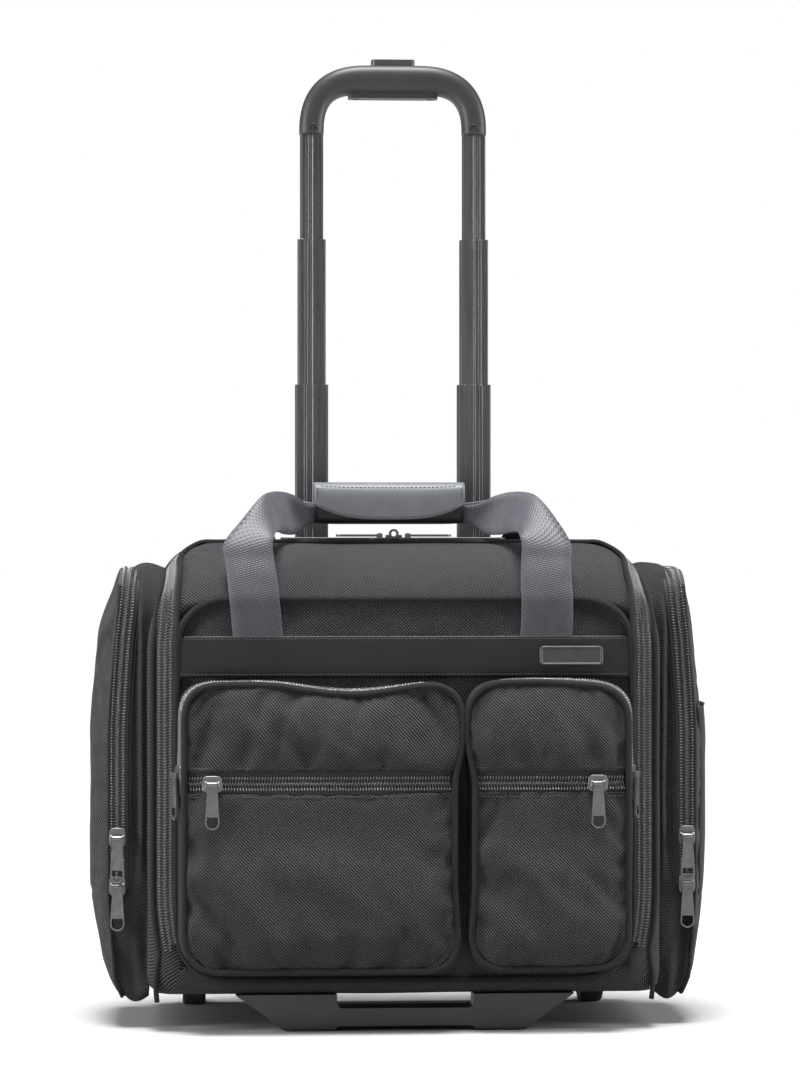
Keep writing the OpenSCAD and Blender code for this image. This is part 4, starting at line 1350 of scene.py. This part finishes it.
def build_strap(name, half, y, node, body):
    """Webbing between two edges, rounded along both."""
    outer, inner = whole_strap(half, y)
    middles = [(a + b) / 2 for a, b in zip(outer, inner)]
    rows = []
    for i, p in enumerate(middles):
        along = (middles[min(i + 1, len(middles) - 1)] - middles[max(i - 1, 0)]).normalized()
        side = inner[i] - outer[i]
        w = side.length / 2
        side.normalize()
        face = along.cross(side).normalized()
        t = WEB_THICK / 2
        front = [(-w + 0.6, t), (-w * 0.6, t), (-w * 0.2, t), (w * 0.2, t), (w * 0.6, t), (w - 0.6, t)]
        section = [(-w + 0.6, -t), (-w, -t * 0.4), (-w, t * 0.4)] + front + [(w, t * 0.4), (w, -t * 0.4)] \
            + [(a, -b) for a, b in front[:0:-1]]
        rows.append([p + side * a + face * b for a, b in section])
    web = Patchwork()
    web.grid(rows, closed=True)
    web.fan(rows[0][::-1], middles[0])
    web.fan(rows[-1], middles[-1])
    finish_piece(web.make(name, [materials["webbing"]], merge=0), body, "webbing", node)


def build_straps():
    """Both carrying straps, and the crossed squares of stitches that hold the rear one."""
    build_strap("front_strap_webbing", FRONT_EDGES, band_front, "front_strap", "front_flap")
    rear_y = box("rear_strap")[1].y - 1
    build_strap("rear_strap_webbing", REAR_EDGES, rear_y, "rear_strap", "case")
    runs = []
    for x in (-112, 2 * STRAP_MID + 112 + 14):
        corners = [Vector((x + a, rear_y + 1.1, z)) for a, z in
                   ((-15, 294), (15, 294), (15, 324), (-15, 324))]
        for i, j in ((0, 1), (1, 2), (2, 3), (3, 0), (0, 2), (1, 3)):
            runs.append(([corners[i], corners[j]], (0, 1, 0)))
    build_stitches("rear_strap_stitches", runs, "case")


def rounded_section(steps, power_c, power_s):
    """Pairs that go once round a flattened circle, squarer with smaller powers."""
    out = []
    for k in range(steps):
        a = 2 * math.pi * k / steps
        c, s = math.cos(a), math.sin(a)
        out.append((math.copysign(abs(c) ** power_c, c), math.copysign(abs(s) ** power_s, s)))
    return out


def build_wrap():
    """Leather sleeve round the strap, and the flap with a curved lower edge that closes over its front."""
    low, high = box("handle_wrap")
    middle = (low + high) / 2
    deep, tall = (high.y - low.y) / 2, (high.z - low.z) / 2
    inset = 0.6
    front, top = low.y - 1.0, high.z + 0.4
    over, down = 0.2, 0.8                     # the flap's share on top of the sleeve and down its front

    def out_from_middle(x):
        """0 at the wrap's middle, 1 at both ends."""
        return abs(x - middle.x) / ((high.x - low.x) / 2)

    def section(x):
        """The sleeve's section at x: a flattened oval whose lower side sags between the ends."""
        sag = 3.5 * (1 - out_from_middle(x) ** 2) + 3.0 * out_from_middle(x) ** 2
        points = []
        for c, s in rounded_section(28, 0.75, 0.75):
            z = middle.z + (tall - inset) * s
            if s < 0:
                z += sag * (middle.z - z) / tall
            points.append(Vector((x, middle.y + (deep - inset) * c, z)))
        return points

    def flap_point(x, t):
        """t runs from the back of the sleeve's top, over and down its front to the curved edge."""
        if t < over:
            k = t / over
            return Vector((x, lerp(middle.y + 5, middle.y - 1, k), top + 0.2 * math.sin(math.pi * k)))
        k = (t - over) / down
        edge_z = lerp(high.z - 28.5, high.z - 17, out_from_middle(x) ** 3.2)
        z = lerp(top, edge_z, k)
        y = lerp(middle.y - 1, front, 1 - math.exp(-k * 9)) - 0.5 * k
        return Vector((x, y + 0.4 * ripple((x, 0, z), 30, 2.0), z))

    sleeve = Patchwork()
    marks = [lerp(low.x, high.x, k / 30) for k in range(31)]
    sleeve.grid([section(x) for x in marks], closed=True)
    piece = sleeve.make("wrap_sleeve", [materials["leather"]])
    thicken(piece, 1.4)
    finish_piece(piece, "front_flap", "leather", "handle_wrap")
    across = [lerp(low.x - 0.6, high.x + 0.6, j / 40) for j in range(41)]
    rows = [[flap_point(x, t / 26) for x in across] for t in range(27)]
    # The flap's leather is lighter than the sleeve's, partly as painted highlight for its upward face.
    sewn_sheet("wrap_flap", rows, ["leather_wrap_painted_highlight"], (0, -1, 0), 1.3, "front_flap", "leather")
    runs = [[flap_point(x, 0.985) + Vector((0, -0.05, 1.8)) for x in marks[1:-1]],
            [flap_point(x, 0.31) for x in marks[1:-1]]]
    for x in (low.x + 2, high.x - 2):
        runs.append([flap_point(x, 0.34 + 0.055 * k) for k in range(11)])
    build_stitches("wrap_stitches", [(run, (0, -1, 0)) for run in runs], "front_flap", length=2.2, gap=1.1,
                   radius=0.26)


# ---------------------------------------------------------------- pull handle


def build_grip():
    """Soft arch over the upper tubes, thicker across the top, with a small raised arc on each leg."""
    low, high = box("grip")
    y, deep = (low.y + high.y) / 2, (high.y - low.y) / 2
    foot = box("upper_tubes")[1].z
    leg_half, bar, bend, steps = 9.9, 13.5, 40, 90
    leg_x = high.x - leg_half
    corners = [Vector((x, y, z)) for x, z in
               ((-leg_x, foot), (-leg_x, high.z - bar), (leg_x, high.z - bar), (leg_x, foot))]
    path = soften(corners, [0, bend, bend, 0], 16, closed=False)
    points = resample(path, steps)
    rings = []
    for i, p in enumerate(points):
        along = (points[min(i + 1, steps)] - points[max(i - 1, 0)]).normalized()
        out = facing(Vector((along.z, 0, -along.x)), Vector((0, y, foot - 20)), p)
        half = lerp(leg_half, bar - 1.5, smooth(0.2, 0.85, 1 - abs(i - steps / 2) / (steps / 2)))
        rings.append([p + Vector((0, (deep - 0.2) * c, 0)) + out * (half * s)
                      for c, s in rounded_section(24, 0.7, 0.78)])
    down = Vector((0, 0, 0.6))
    first, last = ([q.lerp(end, 0.06) - down for q in ring] for ring, end in
                   ((rings[0], points[0]), (rings[-1], points[-1])))
    grip = Patchwork()
    grip.grid([first] + rings + [last], closed=True)
    grip.fan(first[::-1], points[0] - down)
    grip.fan(last, points[-1] - down)
    finish_piece(grip.make("grip_sleeve", [materials["grip"]]), "handle_upper", "soft_grip", "grip")
    for side in (-1, 1):
        arch = [Vector((side * (leg_x - 1) + 3.6 * math.cos(a), y - deep + 0.1, foot + 3 + 4.2 * math.sin(a)))
                for a in (math.pi * k / 12 for k in range(13))]
        work = Patchwork()
        work.tube(arch, 0.55, sides=6)
        clip = work.make(f"grip_clip_{hand(side)}", [materials["grip"]])
        finish_piece(clip, "handle_upper", "soft_grip")


# ---------------------------------------------------------------- CAD nodes that keep their shape

# For each finish: how wide its nodes' edges are softened, and the nodes
kept = {
    "tube": (0.4, ["outer_tubes", "lower_tubes", "middle_tubes", "upper_tubes"]),
    "plastic": (0.8, ["trolley_bezel", "tube_bracket", "wheel_housing_left", "wheel_housing_right",
                      "front_stand", "base_board", "lock_pins"]),
    "grip": (1.2, ["grip_cover"]),
    "button": (0.8, ["grip_button"]),
    "tyre": (0.4, ["tyre_left", "tyre_right"]),
    "hub": (0.3, ["hub_left", "hub_right"]),
    "steel": (0.15, ["wheel_axles", "base_screws"]),
    "gunmetal": (0.25, [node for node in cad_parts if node.startswith(("slider_", "pull_"))]),
}
SLIDER_EDGE = 0.6


def finish_cad():
    """Materials and softened edges on the nodes that stay."""
    for finish, (width, names) in kept.items():
        for name in names:
            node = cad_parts[name]
            if not node.material_slots:
                node.data.materials.append(materials[finish])
            for entry in node.material_slots:
                entry.material = materials[finish]
            weld = node.modifiers.new("weld", "WELD")
            weld.merge_threshold = 0.01 * MM
            edge = node.modifiers.new("edge", "BEVEL")
            edge.width = (SLIDER_EDGE if name.startswith("slider_") else width) * MM
            edge.segments = 3
            edge.limit_method = "ANGLE"
            edge.angle_limit = math.radians(35)
            edge.use_clamp_overlap = True


# ---------------------------------------------------------------- build all

build_case()
build_lid()
build_main_zip()
build_front_panel()
build_flap_fold()
build_leather_band()
build_badge()
build_front_pocket(-1)
build_front_pocket(1)
build_side_pocket(-1)
build_slip_pocket(build_side_pocket(1))
build_back_panel()
build_lining_panel()
build_straps()
build_wrap()
build_grip()
finish_cad()

# ---------------------------------------------------------------- stage, light and camera


def build_stage():
    """Plain pale floor."""
    far = 40.0
    data = bpy.data.meshes.new("floor")
    data.from_pydata([(-far, -far, 0), (far, -far, 0), (far, far, 0), (-far, far, 0)], [], [(0, 1, 2, 3)])
    data.materials.append(Finish("floor", (0.35, 0.35, 0.35), 0.9).material)
    floor = add_object("floor", data)


def area_light(name, place, target, size, power):
    """A lamp that shines from place towards target."""
    data = bpy.data.lights.new(name, "AREA")
    data.shape = "RECTANGLE"
    data.size, data.size_y = size
    data.energy = power
    lamp = add_object(name, data)
    lamp.location = place
    lamp.rotation_euler = (Vector(target) - Vector(place)).to_track_quat("-Z", "Y").to_euler()


def sun_light(elevation, azimuth, power, spread):
    """Soft parallel light from that height and side; azimuth 0 is from the front, 90 from the right."""
    data = bpy.data.lights.new("sun", "SUN")
    data.energy = power
    data.angle = math.radians(spread)
    lamp = add_object("sun", data)
    e, a = math.radians(elevation), math.radians(azimuth)
    toward = Vector((math.cos(e) * math.sin(a), -math.cos(e) * math.cos(a), math.sin(e)))
    lamp.rotation_euler = toward.to_track_quat("Z", "Y").to_euler()


def light_scene():
    """White surroundings, dim as a light so that the dark cloth keeps its depth, and soft lamps."""
    world = bpy.data.worlds.new("studio")
    world.use_nodes = True
    tree = world.node_tree
    seen, light = tree.nodes["Background"], tree.nodes.new("ShaderNodeBackground")
    for background, strength in ((seen, 1.0), (light, 0.1)):
        background.inputs["Color"].default_value = (1, 1, 1, 1)
        background.inputs["Strength"].default_value = strength
    ray = tree.nodes.new("ShaderNodeLightPath")
    mix = tree.nodes.new("ShaderNodeMixShader")
    tree.links.new(ray.outputs["Is Camera Ray"], mix.inputs[0])
    tree.links.new(light.outputs[0], mix.inputs[1])
    tree.links.new(seen.outputs[0], mix.inputs[2])
    tree.links.new(mix.outputs[0], tree.nodes["World Output"].inputs["Surface"])
    bpy.context.scene.world = world
    sun_light(83, -12, 9.4, 26)
    middle = (0, 0, 0.3)
    area_light("front", (-0.9, -2.6, 0.9), middle, (0.5, 1.0), 2)
    area_light("rim_left", (-1.6, -0.5, 0.6), middle, (0.4, 1.4), 40)
    area_light("rim_right", (1.7, -0.3, 0.7), middle, (0.4, 1.4), 36)


def place_camera():
    """The photograph's level view from 2.8 m, turned a little to the object's left."""
    data = bpy.data.cameras.new("camera")
    camera = add_object("camera", data)
    camera.location = (-0.168, -2.826, 0.369)
    camera.rotation_euler = (math.radians(90), 0, math.radians(-3.42))
    data.sensor_fit = "VERTICAL"
    data.sensor_height = 36
    data.lens = 119.05
    data.clip_end = 200
    bpy.context.scene.camera = camera


build_stage()
light_scene()
place_camera()
bpy.context.scene.view_settings.view_transform = "Standard"
